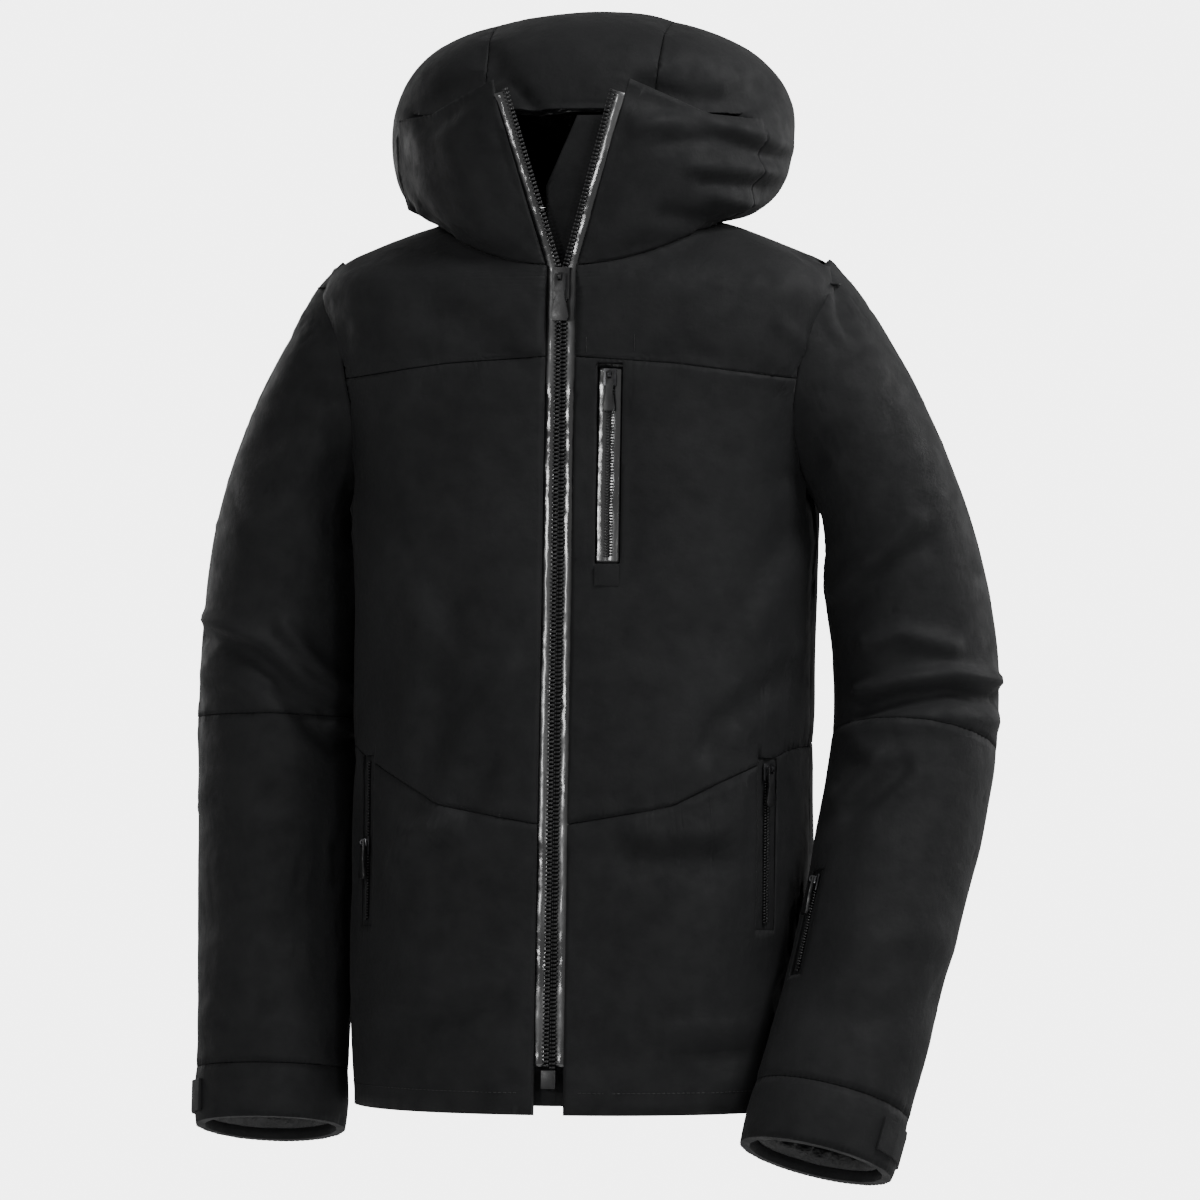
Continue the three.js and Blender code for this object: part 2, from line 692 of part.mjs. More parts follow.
// A slider: a front and a back plate joined by a thin web between the rows of teeth, with a lug in front.
const lugHalfWidth = 1.3;
const lugReach = 5.4;
const lugLength = 5.4;
const pinRadius = 0.8;
const pinClearance = 0.35;
function sliderSolid({ length, halfWidth, front, back, gap, plate, lugDrop }) {
  const frontPlate = boxSolid([-halfWidth, front - gap - plate, -length], [halfWidth, front - gap, 0]);
  const backPlate = boxSolid([-halfWidth, back + gap, -length], [halfWidth, back + gap + plate, 0]);
  const web = boxSolid([-0.35, front - gap - 0.1, -length * 0.6], [0.35, back + gap + 0.1, -1]);
  const face = front - gap - plate;
  const outline = new THREE.Shape();
  const centreY = face - lugReach + lugLength / 2;
  outline.moveTo(face + 0.2, -lugDrop - lugLength / 2);
  outline.lineTo(face + 0.2, -lugDrop + lugLength / 2);
  outline.lineTo(centreY, -lugDrop + lugLength / 2);
  outline.absarc(centreY, -lugDrop, lugLength / 2, Math.PI / 2, Math.PI * 1.5, false);
  const hole = new THREE.Path().absarc(centreY, -lugDrop, pinRadius + pinClearance, 0, Math.PI * 2, true);
  outline.holes.push(hole);
  const settings = { depth: lugHalfWidth * 2, bevelEnabled: false, curveSegments: 10 };
  const lug = new THREE.ExtrudeGeometry(outline, settings);
  lug.applyMatrix4(new THREE.Matrix4().set(0, 0, 1, -lugHalfWidth, 1, 0, 0, 0, 0, 1, 0, 0, 0, 0, 0, 1));
  const solid = frontPlate.add(backPlate).add(web).add(solidFromGeometry(lug));
  return { solid, pinY: centreY, pinZ: -lugDrop };
}

// A puller hangs from a pin through the lug: two arms, a narrow waist and a wider grip.
const pullerThickness = 2.2;
function pullerSolid(length, width, pinY, pinZ) {
  const arm = lugHalfWidth + pinClearance;
  const half = width / 2;
  const shape = new THREE.Shape();
  const crotch = -lugLength / 2 - 0.9;
  shape.moveTo(-half * 0.62, 2);
  shape.lineTo(-arm, 2);
  shape.lineTo(-arm, crotch);
  shape.lineTo(arm, crotch);
  shape.lineTo(arm, 2);
  shape.lineTo(half * 0.62, 2);
  shape.lineTo(half * 0.62, -length * 0.3);
  shape.quadraticCurveTo(half * 0.4, -length * 0.45, half * 0.7, -length * 0.6);
  shape.lineTo(half, -length * 0.92);
  shape.lineTo(half * 0.8, -length);
  shape.lineTo(-half * 0.8, -length);
  shape.lineTo(-half, -length * 0.92);
  shape.lineTo(-half * 0.7, -length * 0.6);
  shape.quadraticCurveTo(-half * 0.4, -length * 0.45, -half * 0.62, -length * 0.3);
  const settings = { depth: pullerThickness, bevelEnabled: false, curveSegments: 4 };
  const plate = new THREE.ExtrudeGeometry(shape, settings);
  plate.rotateX(Math.PI / 2);
  plate.translate(0, pullerThickness / 2, 0);
  const pin = new THREE.CylinderGeometry(pinRadius, pinRadius, arm * 2 + 0.4, 10);
  pin.rotateZ(Math.PI / 2);
  const solid = solidFromGeometry(plate).add(solidFromGeometry(pin));
  return moved(solid, new THREE.Matrix4().makeTranslation(0, pinY, pinZ));
}

const mainSlider = sliderSolid({
  length: sliderLength,
  halfWidth: sliderHalfWidth,
  front: teethFront,
  back: teethBack,
  gap: slotClearance,
  plate: plateThickness,
  lugDrop: 7,
});
const slideDown = new THREE.Matrix4().makeTranslation(0, 0, -partLine);
addNode("main_slider", moved(mainSlider.solid, slideDown), plastic, zip);
const mainPuller = pullerSolid(pullerLength, 14, mainSlider.pinY, mainSlider.pinZ);
addNode("main_puller", moved(mainPuller, slideDown), plastic, zip);

// The bottom box holds both rows of teeth at the foot of the zip.
const boxReach = teethOuter + 1.6;
const bottomBox = boxSolid([-boxReach, teethFront - 1, -zipLength], [boxReach, teethBack + 1, boxTop]);
addNode("main_zip_box", bottomBox, plastic, zip);

// ---------------------------------------------------------------- pocket zips
// A pocket zip lies in a slot of its panel. Its tape is a frame round the teeth; the teeth are two rows
// joined by an end stop at the bottom; its slider starts a distance below the top.
function pocketZip({ name, frame, length, panelNames, depth, sliderDrop }) {
  const group = new THREE.Group();
  group.applyMatrix4(frame);
  jacket.add(group);
  const half = pocketTapeHalfWidth;
  const slot = moved(
    boxSolid(
      [-half - slotClearance, -20, -length - slotClearance],
      [half + slotClearance, depth, slotClearance],
    ),
    frame,
  );
  for (const panel of panelNames) shell[panel] = mainBody(shell[panel].subtract(slot));
  const front = 2.2;
  const back = front + 2.6;
  const edge = 3.2;
  const tape = boxSolid([-half, front + 0.6, -length], [half, front + 1.8, 0]).subtract(
    boxSolid([-edge - 0.3, 0, -length + 3], [edge + 0.3, 9, -3]),
  );
  addNode(`${name}_tape`, tape, laminate, group);
  const teeth = boxSolid([-edge, front, -length + 3.4], [edge, back, -3.4]).subtract(
    boxSolid([-teethInner, 0, -length + 6], [teethInner, 9, 0]),
  );
  addNode(`${name}_teeth`, teeth, plastic, group);
  const slider = sliderSolid({
    length: pocketSliderLength,
    halfWidth: 4.8,
    front,
    back,
    gap: 0.3,
    plate: 1,
    lugDrop: 4.4,
  });
  const down = new THREE.Matrix4().makeTranslation(0, 0, -sliderDrop);
  addNode(`${name}_slider`, moved(slider.solid, down), paintedMetal, group);
  const puller = pullerSolid(pocketPullerLength, 9, slider.pinY, slider.pinZ);
  addNode(`${name}_puller`, moved(puller, down), plastic, group);
}

function bodyZipFrame(x, bottom, top) {
  const high = frontPoint(x, top);
  const low = frontPoint(x, bottom);
  return surfaceFrame(low.point, high.point, high.outward.add(low.outward).normalize());
}

const slotDepth = panelThickness + 3;
pocketZip({
  name: "chest_zip",
  frame: bodyZipFrame(chestZip.x, chestZip.bottom, chestZip.top - 4),
  length: chestZip.top - 4 - chestZip.bottom,
  panelNames: ["front_left_chest"],
  depth: slotDepth,
  sliderDrop: 4,
});
for (const [name, side] of Object.entries(halves)) {
  const x = side * handZip.x;
  pocketZip({
    name: `hand_zip_${name}`,
    frame: bodyZipFrame(x, handZip.bottom, handZip.top),
    length: handZip.top - handZip.bottom,
    panelNames: [`front_${name}_lower`, `front_${name}_chest`],
    depth: slotDepth,
    sliderDrop: name === "right" ? 62 : 4,
  });
}

// The forearm pocket's zip runs along the front of the left forearm, near its inner side.
function forearmZipFrame() {
  const from = 0.66;
  const rings = sleeveRings(sleeves.left, from, from + forearmZipLength / sleeveLength, 1, 0);
  const column = Math.round(sleeveSides * 0.4);
  const [high, low] = rings.map((ring) => ring[column]);
  const centre = rings[0].reduce((sum, p) => sum.add(p), vec()).divideScalar(sleeveSides);
  return surfaceFrame(low, high, vec().subVectors(high, centre).normalize());
}
pocketZip({
  name: "forearm_zip",
  frame: forearmZipFrame(),
  length: forearmZipLength,
  panelNames: ["sleeve_left_forearm"],
  depth: slotDepth,
  sliderDrop: 4,
});
for (const [name, solid] of Object.entries(shell)) addNode(name, solid, cloth);

// A stitched patch closes the foot of the chest zip.
const garageTop = chestZip.bottom - slotClearance * 2;
const garageFrame = bodyZipFrame(chestZip.x, chestZip.bottom - garageHeight, garageTop);
const garage = boxSolid([-pocketTapeHalfWidth, -1.4, -garageHeight + 3], [pocketTapeHalfWidth, -0.3, -1]);
addNode("chest_zip_garage", moved(garage, garageFrame), laminate);

// Pocket bags hang between the padding and the lining, cut from the layer of the body there.
const bagLayer = cutArmholes(bodyLayer(bagDepth, bagDepth + bagThickness));
function bag(name, fromX, toX, fromZ, toZ) {
  const outline = [
    [fromX, fromZ],
    [toX, fromZ],
    [toX, toZ],
    [fromX, toZ],
  ];
  addNode(name, mainBody(bagLayer.intersect(prismAlongY(outline, -far, sideSeamY - 8))), liningCloth);
}
bag("chest_pocket_bag", 24, 118, chestZip.bottom - 8, chestZip.top - 52);
bag("hand_pocket_bag_left", 60, 150, 86, handZip.top);
bag("hand_pocket_bag_right", -150, -60, 86, handZip.top);

// ---------------------------------------------------------------- cuff tabs
// A tab lies on the outer side of the cuff: sewn at its rear end, gripped by hook and loop at the other.
function cuffTab(sleeve) {
  const middle = 1 - cuffLength / 2 / sleeveLength;
  const reach = tabWidth / 2 / sleeveLength;
  const rings = sleeveRings(sleeve, middle - reach, middle + reach, 1, 0.6 + tabThickness);
  const columns = [];
  const start = sleeveSides - 2;
  const arc = Math.round(tabLength / ((2 * Math.PI * cuffHalfWidth * 0.9) / sleeveSides));
  for (let k = 0; k <= arc; k++) columns.push((start + k) % sleeveSides);
  const centre = rings.map((ring) => ring.reduce((sum, p) => sum.add(p), vec()).divideScalar(sleeveSides));
  const grid = [1, 0].map((r) => columns.map((k) => rings[r][k]));
  const normals = [1, 0].map((r) => columns.map((k) => vec().subVectors(rings[r][k], centre[r]).normalize()));
  const reversed = (row) => [...row].reverse();
  return sheetSolid(grid.map(reversed), normals.map(reversed), tabThickness);
}
for (const [name, sleeve] of Object.entries(sleeves)) addNode(`cuff_tab_${name}`, cuffTab(sleeve), laminate);

// ---------------------------------------------------------------- hang loop
// A folded strap on the back of the neck with a flat top, whose underside sits on the hook.
const loopFoot = neckBackHeight + 4;
const loopY = neckBackY - hoodThickness - liningThickness - layerGap * 3 - loopStrapWidth;
function hangLoop() {
  const t = loopStrapThickness;
  const outline = [
    [-loopHalfWidth, loopFoot],
    [-loopHalfWidth + t, loopFoot],
    [-loopHalfWidth + 10 + t * 0.6, loopFoot + loopRise - t],
    [loopHalfWidth - 10 - t * 0.6, loopFoot + loopRise - t],
    [loopHalfWidth - t, loopFoot],
    [loopHalfWidth, loopFoot],
    [loopHalfWidth - 9.4, loopFoot + loopRise],
    [-loopHalfWidth + 9.4, loopFoot + loopRise],
  ];
  return prismAlongY(outline, loopY, loopY + loopStrapWidth);
}
addNode("hang_loop", hangLoop(), liningCloth);

// The whole jacket is placed so that the origin is on the underside of the loop's flat top.
jacket.position.set(0, -(loopY + loopStrapWidth / 2), -(loopFoot + loopRise - loopStrapThickness));
const root = new THREE.Group();
root.add(jacket);
export default root;
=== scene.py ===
# %% [markdown]
# # An insulated ski jacket
# The jacket is sewn from padded panels of matte black cloth, closed by a long moulded zip, with a
# helmet-size hood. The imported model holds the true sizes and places, so every piece made here starts
# from it: soft panels are cut finer from their plain solids, and zips are rebuilt tooth by tooth.

# %% Load the frame and keep its size
import json
import math

import bmesh
import bpy
import numpy as np
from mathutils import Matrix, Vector, kdtree, noise
from mathutils.bvhtree import BVHTree


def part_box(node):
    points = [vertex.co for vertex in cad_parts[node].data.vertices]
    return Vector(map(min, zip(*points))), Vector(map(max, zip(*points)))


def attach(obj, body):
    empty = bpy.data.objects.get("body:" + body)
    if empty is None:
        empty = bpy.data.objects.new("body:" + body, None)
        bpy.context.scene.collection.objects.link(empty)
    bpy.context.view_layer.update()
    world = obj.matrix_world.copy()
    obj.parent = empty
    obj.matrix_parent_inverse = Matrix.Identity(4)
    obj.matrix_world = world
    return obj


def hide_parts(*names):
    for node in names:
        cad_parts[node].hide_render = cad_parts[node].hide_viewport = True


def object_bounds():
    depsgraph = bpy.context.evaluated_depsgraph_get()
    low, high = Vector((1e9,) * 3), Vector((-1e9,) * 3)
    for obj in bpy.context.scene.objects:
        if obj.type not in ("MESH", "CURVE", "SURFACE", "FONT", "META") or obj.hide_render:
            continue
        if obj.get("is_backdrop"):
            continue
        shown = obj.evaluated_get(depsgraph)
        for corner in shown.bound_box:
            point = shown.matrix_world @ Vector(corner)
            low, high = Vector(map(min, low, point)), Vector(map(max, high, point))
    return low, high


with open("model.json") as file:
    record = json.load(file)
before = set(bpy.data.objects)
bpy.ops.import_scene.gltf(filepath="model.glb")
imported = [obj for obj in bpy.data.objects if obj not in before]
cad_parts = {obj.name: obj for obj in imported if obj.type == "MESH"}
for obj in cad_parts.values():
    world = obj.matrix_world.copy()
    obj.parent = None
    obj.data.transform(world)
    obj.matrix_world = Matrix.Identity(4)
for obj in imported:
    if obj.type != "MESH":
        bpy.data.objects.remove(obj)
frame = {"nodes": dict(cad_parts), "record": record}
nodes = frame["nodes"]
cad_box = [list(corner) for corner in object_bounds()]
bpy.ops.object.select_all(action="DESELECT")

HEM_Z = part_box("back_lower")[0].z
SIDE_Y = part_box("back_lower")[0].y
MM = 0.001
print("loaded", len(nodes), "nodes; the hem is at", round(HEM_Z, 4), "m")


def spot(x, y, z):
    """A place in millimetres from the hem's centre, as a point of the frame."""
    return Vector((x * MM, SIDE_Y + y * MM, HEM_Z + z * MM))


# %% [markdown]
# ## Camera
# The camera stands a little to the wearer's left, level with the chest and far enough away to keep
# the sleeves' proportions. It comes first, because the large folds are placed as seen from it.

# %% Camera
AIM_ACROSS, AIM_ABOVE = 11.5, 386.5
azimuth, elevation, distance = math.radians(11), math.radians(1), 7.0
target = spot(AIM_ACROSS * math.cos(azimuth), AIM_ACROSS * math.sin(azimuth), AIM_ABOVE)
back = Vector(
    (math.sin(azimuth) * math.cos(elevation), -math.cos(azimuth) * math.cos(elevation), math.sin(elevation))
)
camera_data = bpy.data.cameras.new("camera")
camera_data.lens = 272.7
camera_data.sensor_width = 36
camera = bpy.data.objects.new("camera", camera_data)
bpy.context.scene.collection.objects.link(camera)
camera.location = target + back * distance
camera.rotation_euler = (-back).to_track_quat("-Z", "Y").to_euler()
bpy.context.scene.camera = camera


def seen(points):
    """Each point's place as seen from the front, in mm: across from the middle, and above the hem."""
    away = points - np.array(target)
    right = np.array([math.cos(azimuth), math.sin(azimuth), 0])
    up = np.cross(np.array(back), right)
    scale = 1000 * distance / (distance - away @ np.array(back))
    return np.stack([AIM_ACROSS + away @ right * scale, AIM_ABOVE + away @ up * scale], axis=1)


print("the camera stands", distance, "m away")

# %% [markdown]
# ## Cloth and trim finishes
# The shell is a tightly woven matte cloth: almost black, with a fine weave in its bump, cloudy
# colour, and a sheen that catches light at the folds. Patterns read Object coordinates, so they keep
# their real size on every panel.

# %% Helpers for node materials


def new_material(name, **inputs):
    """A material with a Principled shader whose own sockets hold the constant values."""
    material = bpy.data.materials.new(name)
    material.use_nodes = True
    shader = material.node_tree.nodes["Principled BSDF"]
    for socket, value in inputs.items():
        shader.inputs[socket.replace("_", " ")].default_value = value
    return material, material.node_tree, shader


def add_node(tree, kind, **settings):
    """A shader node; settings that name an input fill its default value."""
    node = tree.nodes.new(kind)
    for key, value in settings.items():
        if key in node.inputs.keys():
            node.inputs[key].default_value = value
        else:
            setattr(node, key, value)
    return node


def scaled_coordinates(tree, scale):
    """Object coordinates stretched by a scale in each direction."""
    source = add_node(tree, "ShaderNodeTexCoord")
    mapping = add_node(tree, "ShaderNodeMapping")
    mapping.inputs["Scale"].default_value = scale
    tree.links.new(source.outputs["Object"], mapping.inputs["Vector"])
    return mapping.outputs["Vector"]


def noise_of(tree, scale, detail=3.0, roughness=0.55):
    """A noise pattern in Object coordinates; scale is waves to the metre."""
    vector = scaled_coordinates(tree, (1, 1, 1))
    node = add_node(tree, "ShaderNodeTexNoise", Scale=scale, Detail=detail, Roughness=roughness)
    tree.links.new(vector, node.inputs["Vector"])
    return node.outputs["Fac"]


def ramp_of(tree, factor, dark, light, low=0.35, high=0.7):
    """A colour between dark and light, chosen by a pattern."""
    ramp = add_node(tree, "ShaderNodeValToRGB")
    ramp.color_ramp.elements[0].position = low
    ramp.color_ramp.elements[0].color = (*dark, 1)
    ramp.color_ramp.elements[1].position = high
    ramp.color_ramp.elements[1].color = (*light, 1)
    tree.links.new(factor, ramp.inputs["Fac"])
    return ramp.outputs["Color"]


def weave_of(tree, threads):
    """Two crossed sets of threads, as a height between 0 and 1; threads is threads to the metre."""
    heights = []
    for scale in ((threads, 0, threads * 0.12), (0, threads * 0.12, threads)):
        wave = add_node(tree, "ShaderNodeTexWave", Scale=1.0, Distortion=0.4)
        wave.wave_type = "BANDS"
        wave.bands_direction = "DIAGONAL"
        tree.links.new(scaled_coordinates(tree, scale), wave.inputs["Vector"])
        heights.append(wave.outputs["Fac"])
    both = add_node(tree, "ShaderNodeMath", operation="MULTIPLY")
    tree.links.new(heights[0], both.inputs[0])
    tree.links.new(heights[1], both.inputs[1])
    return both.outputs[0]


def colour_by(tree, shader, pattern, dark, light):
    """Lets a pattern choose the colour."""
    tree.links.new(ramp_of(tree, pattern, dark, light), shader.inputs["Base Color"])


def roughness_by(tree, shader, pattern, least, most, low=0.35, high=0.7):
    """Lets a pattern choose the roughness."""
    ramp = ramp_of(tree, pattern, (least, least, least), (most, most, most), low, high)
    tree.links.new(ramp, shader.inputs["Roughness"])


def bump_chain(tree, shader, layers):
    """Bumps laid one on another: each layer is (pattern, strength, height in metres)."""
    normal = None
    for pattern, strength, distance in layers:
        bump = add_node(tree, "ShaderNodeBump", Strength=strength, Distance=distance)
        tree.links.new(pattern, bump.inputs["Height"])
        if normal:
            tree.links.new(normal, bump.inputs["Normal"])
        normal = bump.outputs["Normal"]
    tree.links.new(normal, shader.inputs["Normal"])


# %% Shell cloth, lining, laminated tape, plastic and lacquered metal


def make_shell_cloth():
    material, tree, shader = new_material(
        "shell cloth", Sheen_Weight=0.02, Sheen_Roughness=0.5, Specular_IOR_Level=0.16
    )
    colour_by(tree, shader, noise_of(tree, 14), (0.0042, 0.0044, 0.0048), (0.0075, 0.0077, 0.0082))
    roughness_by(tree, shader, noise_of(tree, 60), 0.62, 0.8)
    layers = [
        (noise_of(tree, 38, 4), 0.35, 0.004),
        (noise_of(tree, 160, 3), 0.25, 0.001),
        (weave_of(tree, 9000), 0.25, 0.0002),
    ]
    bump_chain(tree, shader, layers)
    return material


def make_lining_cloth():
    material, tree, shader = new_material("lining cloth", Sheen_Weight=0.02, Specular_IOR_Level=0.45)
    colour_by(tree, shader, noise_of(tree, 22), (0.004, 0.0042, 0.0046), (0.009, 0.0092, 0.0098))
    roughness_by(tree, shader, noise_of(tree, 90), 0.34, 0.5)
    bump_chain(tree, shader, [(noise_of(tree, 55, 5, 0.6), 0.8, 0.006), (weave_of(tree, 12000), 0.2, 0.0002)])
    return material


def make_laminate():
    """Zip tape with a film bonded on: glossy, with broken highlights where it ripples."""
    material, tree, shader = new_material(
        "laminated tape", Specular_IOR_Level=0.9, Coat_Weight=0.6, Coat_Roughness=0.14
    )
    colour_by(tree, shader, noise_of(tree, 120), (0.004, 0.0042, 0.0046), (0.009, 0.0092, 0.0098))
    roughness_by(tree, shader, noise_of(tree, 11, 1), 0.14, 0.5, 0.44, 0.56)
    bump_chain(tree, shader, [(noise_of(tree, 70, 2), 0.35, 0.002), (weave_of(tree, 7000), 0.1, 0.0001)])
    return material


def make_moulded_plastic():
    material, tree, shader = new_material("moulded plastic", Specular_IOR_Level=0.4)
    colour_by(tree, shader, noise_of(tree, 900), (0.004, 0.004, 0.0043), (0.008, 0.008, 0.0085))
    roughness_by(tree, shader, noise_of(tree, 300), 0.3, 0.45)
    bump_chain(tree, shader, [(noise_of(tree, 2500), 0.15, 0.0002)])
    return material


def make_lacquered_metal():
    material, tree, shader = new_material(
        "lacquered metal", Metallic=0.85, Coat_Weight=0.3, Coat_Roughness=0.2
    )
    colour_by(tree, shader, noise_of(tree, 260), (0.022, 0.022, 0.024), (0.055, 0.055, 0.058))
    roughness_by(tree, shader, noise_of(tree, 500), 0.26, 0.42)
    bump_chain(tree, shader, [(noise_of(tree, 1500), 0.12, 0.0002)])
    return material


finishes = {
    "shell_cloth": make_shell_cloth(),
    "lining_cloth": make_lining_cloth(),
    "laminate": make_laminate(),
    "zip_plastic": make_moulded_plastic(),
    "slider_metal": make_lacquered_metal(),
}
slot_of = {entry["node"]: entry["material_slot"] for entry in frame["record"]["subparts"]}
body_of = {name: body for body, names in frame["record"]["behaviour"]["bodies"].items() for name in names}
print("finishes:", ", ".join(finishes))


def dress(piece, slot, finish=None):
    """Gives a piece one finish: the finish named, or else the one for the record's slot."""
    piece.data.materials.clear()
    piece.data.materials.append(finishes[finish or slot])


def stand_in(piece, node):
    """Makes a piece ride on its node's body and take the node's place."""
    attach(piece, body_of[node])
    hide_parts(node)


def new_piece(name, mesh):
    """An object for a mesh, in the scene."""
    piece = bpy.data.objects.new(name, mesh)
    bpy.context.scene.collection.objects.link(piece)
    return piece


def mesh_of(name, points, faces):
    mesh = bpy.data.meshes.new(name)
    mesh.from_pydata(points, [], faces)
    return mesh


def net_faces(rows, columns):
    """The faces of a net of points that is numbered row by row."""
    return [
        (r * columns + c, r * columns + c + 1, (r + 1) * columns + c + 1, (r + 1) * columns + c)
        for r in range(rows - 1)
        for c in range(columns - 1)
    ]


def tree_of(places):
    """A search tree for the place nearest to a point."""
    tree = kdtree.KDTree(len(places))
    for i, place in enumerate(places):
        tree.insert(place, i)
    tree.balance()
    return tree


# %% [markdown]
# ## Padded panels
# A sewn panel of an insulated jacket is a flat pillow: full in the middle, pulled down to a hard
# line at its seams, and puckered beside them. Each panel starts as its plain solid and is cut into a
# fine skin. A copy is blown up a little as cloth under pressure, and the skin takes over its swelling
# and gets its listed folds.

# %% Helpers for soft pieces


def copy_of(node, name):
    """A copy of a frame node with its doubles merged, on its own mesh."""
    mesh = nodes[node].data.copy()
    piece = new_piece(name, mesh)
    form = bmesh.new()
    form.from_mesh(mesh)
    bmesh.ops.remove_doubles(form, verts=form.verts, dist=0.00002)
    form.to_mesh(mesh)
    form.free()
    return piece


def apply_modifier(piece, kind, **settings):
    """Adds a modifier, sets it and applies it."""
    modifier = piece.modifiers.new(kind.title(), kind)
    for key, value in settings.items():
        setattr(modifier, key, value)
    bpy.ops.object.select_all(action="DESELECT")
    bpy.context.view_layer.objects.active = piece
    piece.select_set(True)
    bpy.ops.object.modifier_apply(modifier=modifier.name)
    piece.select_set(False)


def points_of(piece):
    points = np.zeros(len(piece.data.vertices) * 3)
    piece.data.vertices.foreach_get("co", points)
    return points.reshape(-1, 3)


def normals_of(piece):
    normals = np.zeros(len(piece.data.vertices) * 3)
    piece.data.vertices.foreach_get("normal", normals)
    return normals.reshape(-1, 3)


def set_points(piece, points):
    piece.data.vertices.foreach_set("co", points.ravel())
    piece.data.update()


SEAM_ANGLE = math.radians(50)


def seam_points(piece, spacing=0.004):
    """Points along the sharp edges of a plain solid: those are its seams and rims."""
    form = bmesh.new()
    form.from_mesh(piece.data)
    found = []
    for edge in form.edges:
        if len(edge.link_faces) == 2 and edge.calc_face_angle(0) > SEAM_ANGLE:
            a, b = edge.verts[0].co, edge.verts[1].co
            steps = max(1, int((b - a).length / spacing))
            found += [a.lerp(b, i / steps) for i in range(steps + 1)]
    form.free()
    return tree_of(found)


def distance_to(tree, points):
    return np.array([tree.find(Vector(p))[2] for p in points])


def noise_at(points, scale, seed, stretch=(1, 1, 1)):
    """Smooth noise from -1 to 1 at each point; scale is waves to the metre."""
    shift = Vector((seed * 7.3, seed * 3.1, seed * 5.7))
    factor = np.array(stretch) * scale
    return np.array([noise.noise(Vector(p) + shift) for p in points * factor])


def fold_height(points, line, width, height):
    """A soft ridge, or a crease where height is negative, along a line of places."""
    height_here = np.zeros(len(points))
    for a, b in zip(line, line[1:]):
        a = np.array(a)
        along = np.array(b) - a
        share = np.clip(((points - a) @ along) / (along @ along), 0, 1)
        away = np.linalg.norm(points - (a + share[:, None] * along), axis=1)
        height_here = np.maximum(height_here, np.exp(-((away / width) ** 2)))
    return height * height_here


def blow_up(piece, pressure, growth, frames=10, most=0.006):
    """Blows a closed skin up as cloth; growth is how much the cloth may grow, which wrinkles it."""
    before = points_of(piece)
    cloth = piece.modifiers.new("Cloth", "CLOTH")
    settings = cloth.settings
    settings.quality = 4
    settings.mass = 0.15
    settings.tension_stiffness = 12
    settings.compression_stiffness = 6
    settings.shear_stiffness = 4
    settings.bending_stiffness = 0.25
    settings.use_pressure = True
    settings.uniform_pressure_force = pressure
    settings.shrink_min = -growth
    settings.effector_weights.gravity = 0
    cloth.collision_settings.use_collision = False
    cloth.point_cache.frame_start = 1
    cloth.point_cache.frame_end = frames
    for step in range(1, frames + 1):
        bpy.context.scene.frame_set(step)
    bpy.ops.object.select_all(action="DESELECT")
    bpy.context.view_layer.objects.active = piece
    bpy.ops.object.modifier_apply(modifier=cloth.name)
    bpy.context.scene.frame_set(1)
    moved = points_of(piece) - before
    length = np.linalg.norm(moved, axis=1)
    moved *= (np.minimum(length, most) / np.maximum(length, 1e-9))[:, None]
    set_points(piece, before + moved)


print("helpers for soft pieces are ready")

# %% [markdown]
# Folds are what make cloth look like cloth. The large ones that this jacket shows are given as lines
# of places on the front (across, above the hem) with a half-width and a height, and noise in two
# sizes gives the small ones. Noise is strongest beside the seams, where thread gathers the cloth. The
# back has its own, broader folds.

# %% Folds of the body, the sleeves and the hood
# Each fold: places in mm, half-width in mm, height in mm (negative is a crease).
body_folds = [
    ([(-154, 69), (-104, 76), (-65, 90)], 8, 5.0),
    ([(-150, 58), (-104, 64), (-65, 77)], 7, -4.5),
    ([(-146, 179), (-135, 206), (-104, 213)], 10, 5.5),
    ([(-158, 170), (-146, 196), (-108, 200)], 9, -3.5),
    ([(-56, 333), (-89, 279), (-114, 217), (-140, 190)], 12, 5.0),
    ([(-40, 325), (-70, 270), (-96, 222)], 12, -4.0),
    ([(-126, 380), (-134, 312), (-140, 270)], 14, 4.0),
    ([(-100, 380), (-112, 312), (-118, 270)], 13, -3.5),
    ([(35, 185), (104, 185)], 13, -6.5),
    ([(40, 208), (100, 206)], 12, 3.5),
    ([(65, 46), (123, 52)], 8, 4.5),
    ([(70, 36), (124, 42)], 7, -3.5),
    ([(15, 2), (27, 21), (65, 25)], 6, 4.0),
    ([(89, 2), (116, 18)], 6, 4.0),
    ([(-73, 11), (-62, 2)], 6, 3.5),
    ([(-186, 480), (-150, 400), (-105, 345)], 15, 4.0),
    ([(154, 333), (134, 316), (101, 291), (95, 272)], 9, -6.0),
    ([(160, 350), (138, 334), (104, 312)], 9, 4.0),
    ([(178, 440), (140, 390), (120, 350)], 13, 4.0),
    ([(160, 440), (124, 385), (108, 350)], 12, -3.5),
    ([(30, 352), (80, 358)], 9, -2.5),
    ([(196, 560), (180, 530), (176, 480)], 8, -3.0),
    ([(-185, 590), (-186, 520), (-182, 470)], 9, -3.0),
    ([(150, 600), (178, 575), (186, 545)], 7, 3.0),
    ([(-120, 610), (-70, 585), (-40, 560)], 14, -3.0),
]
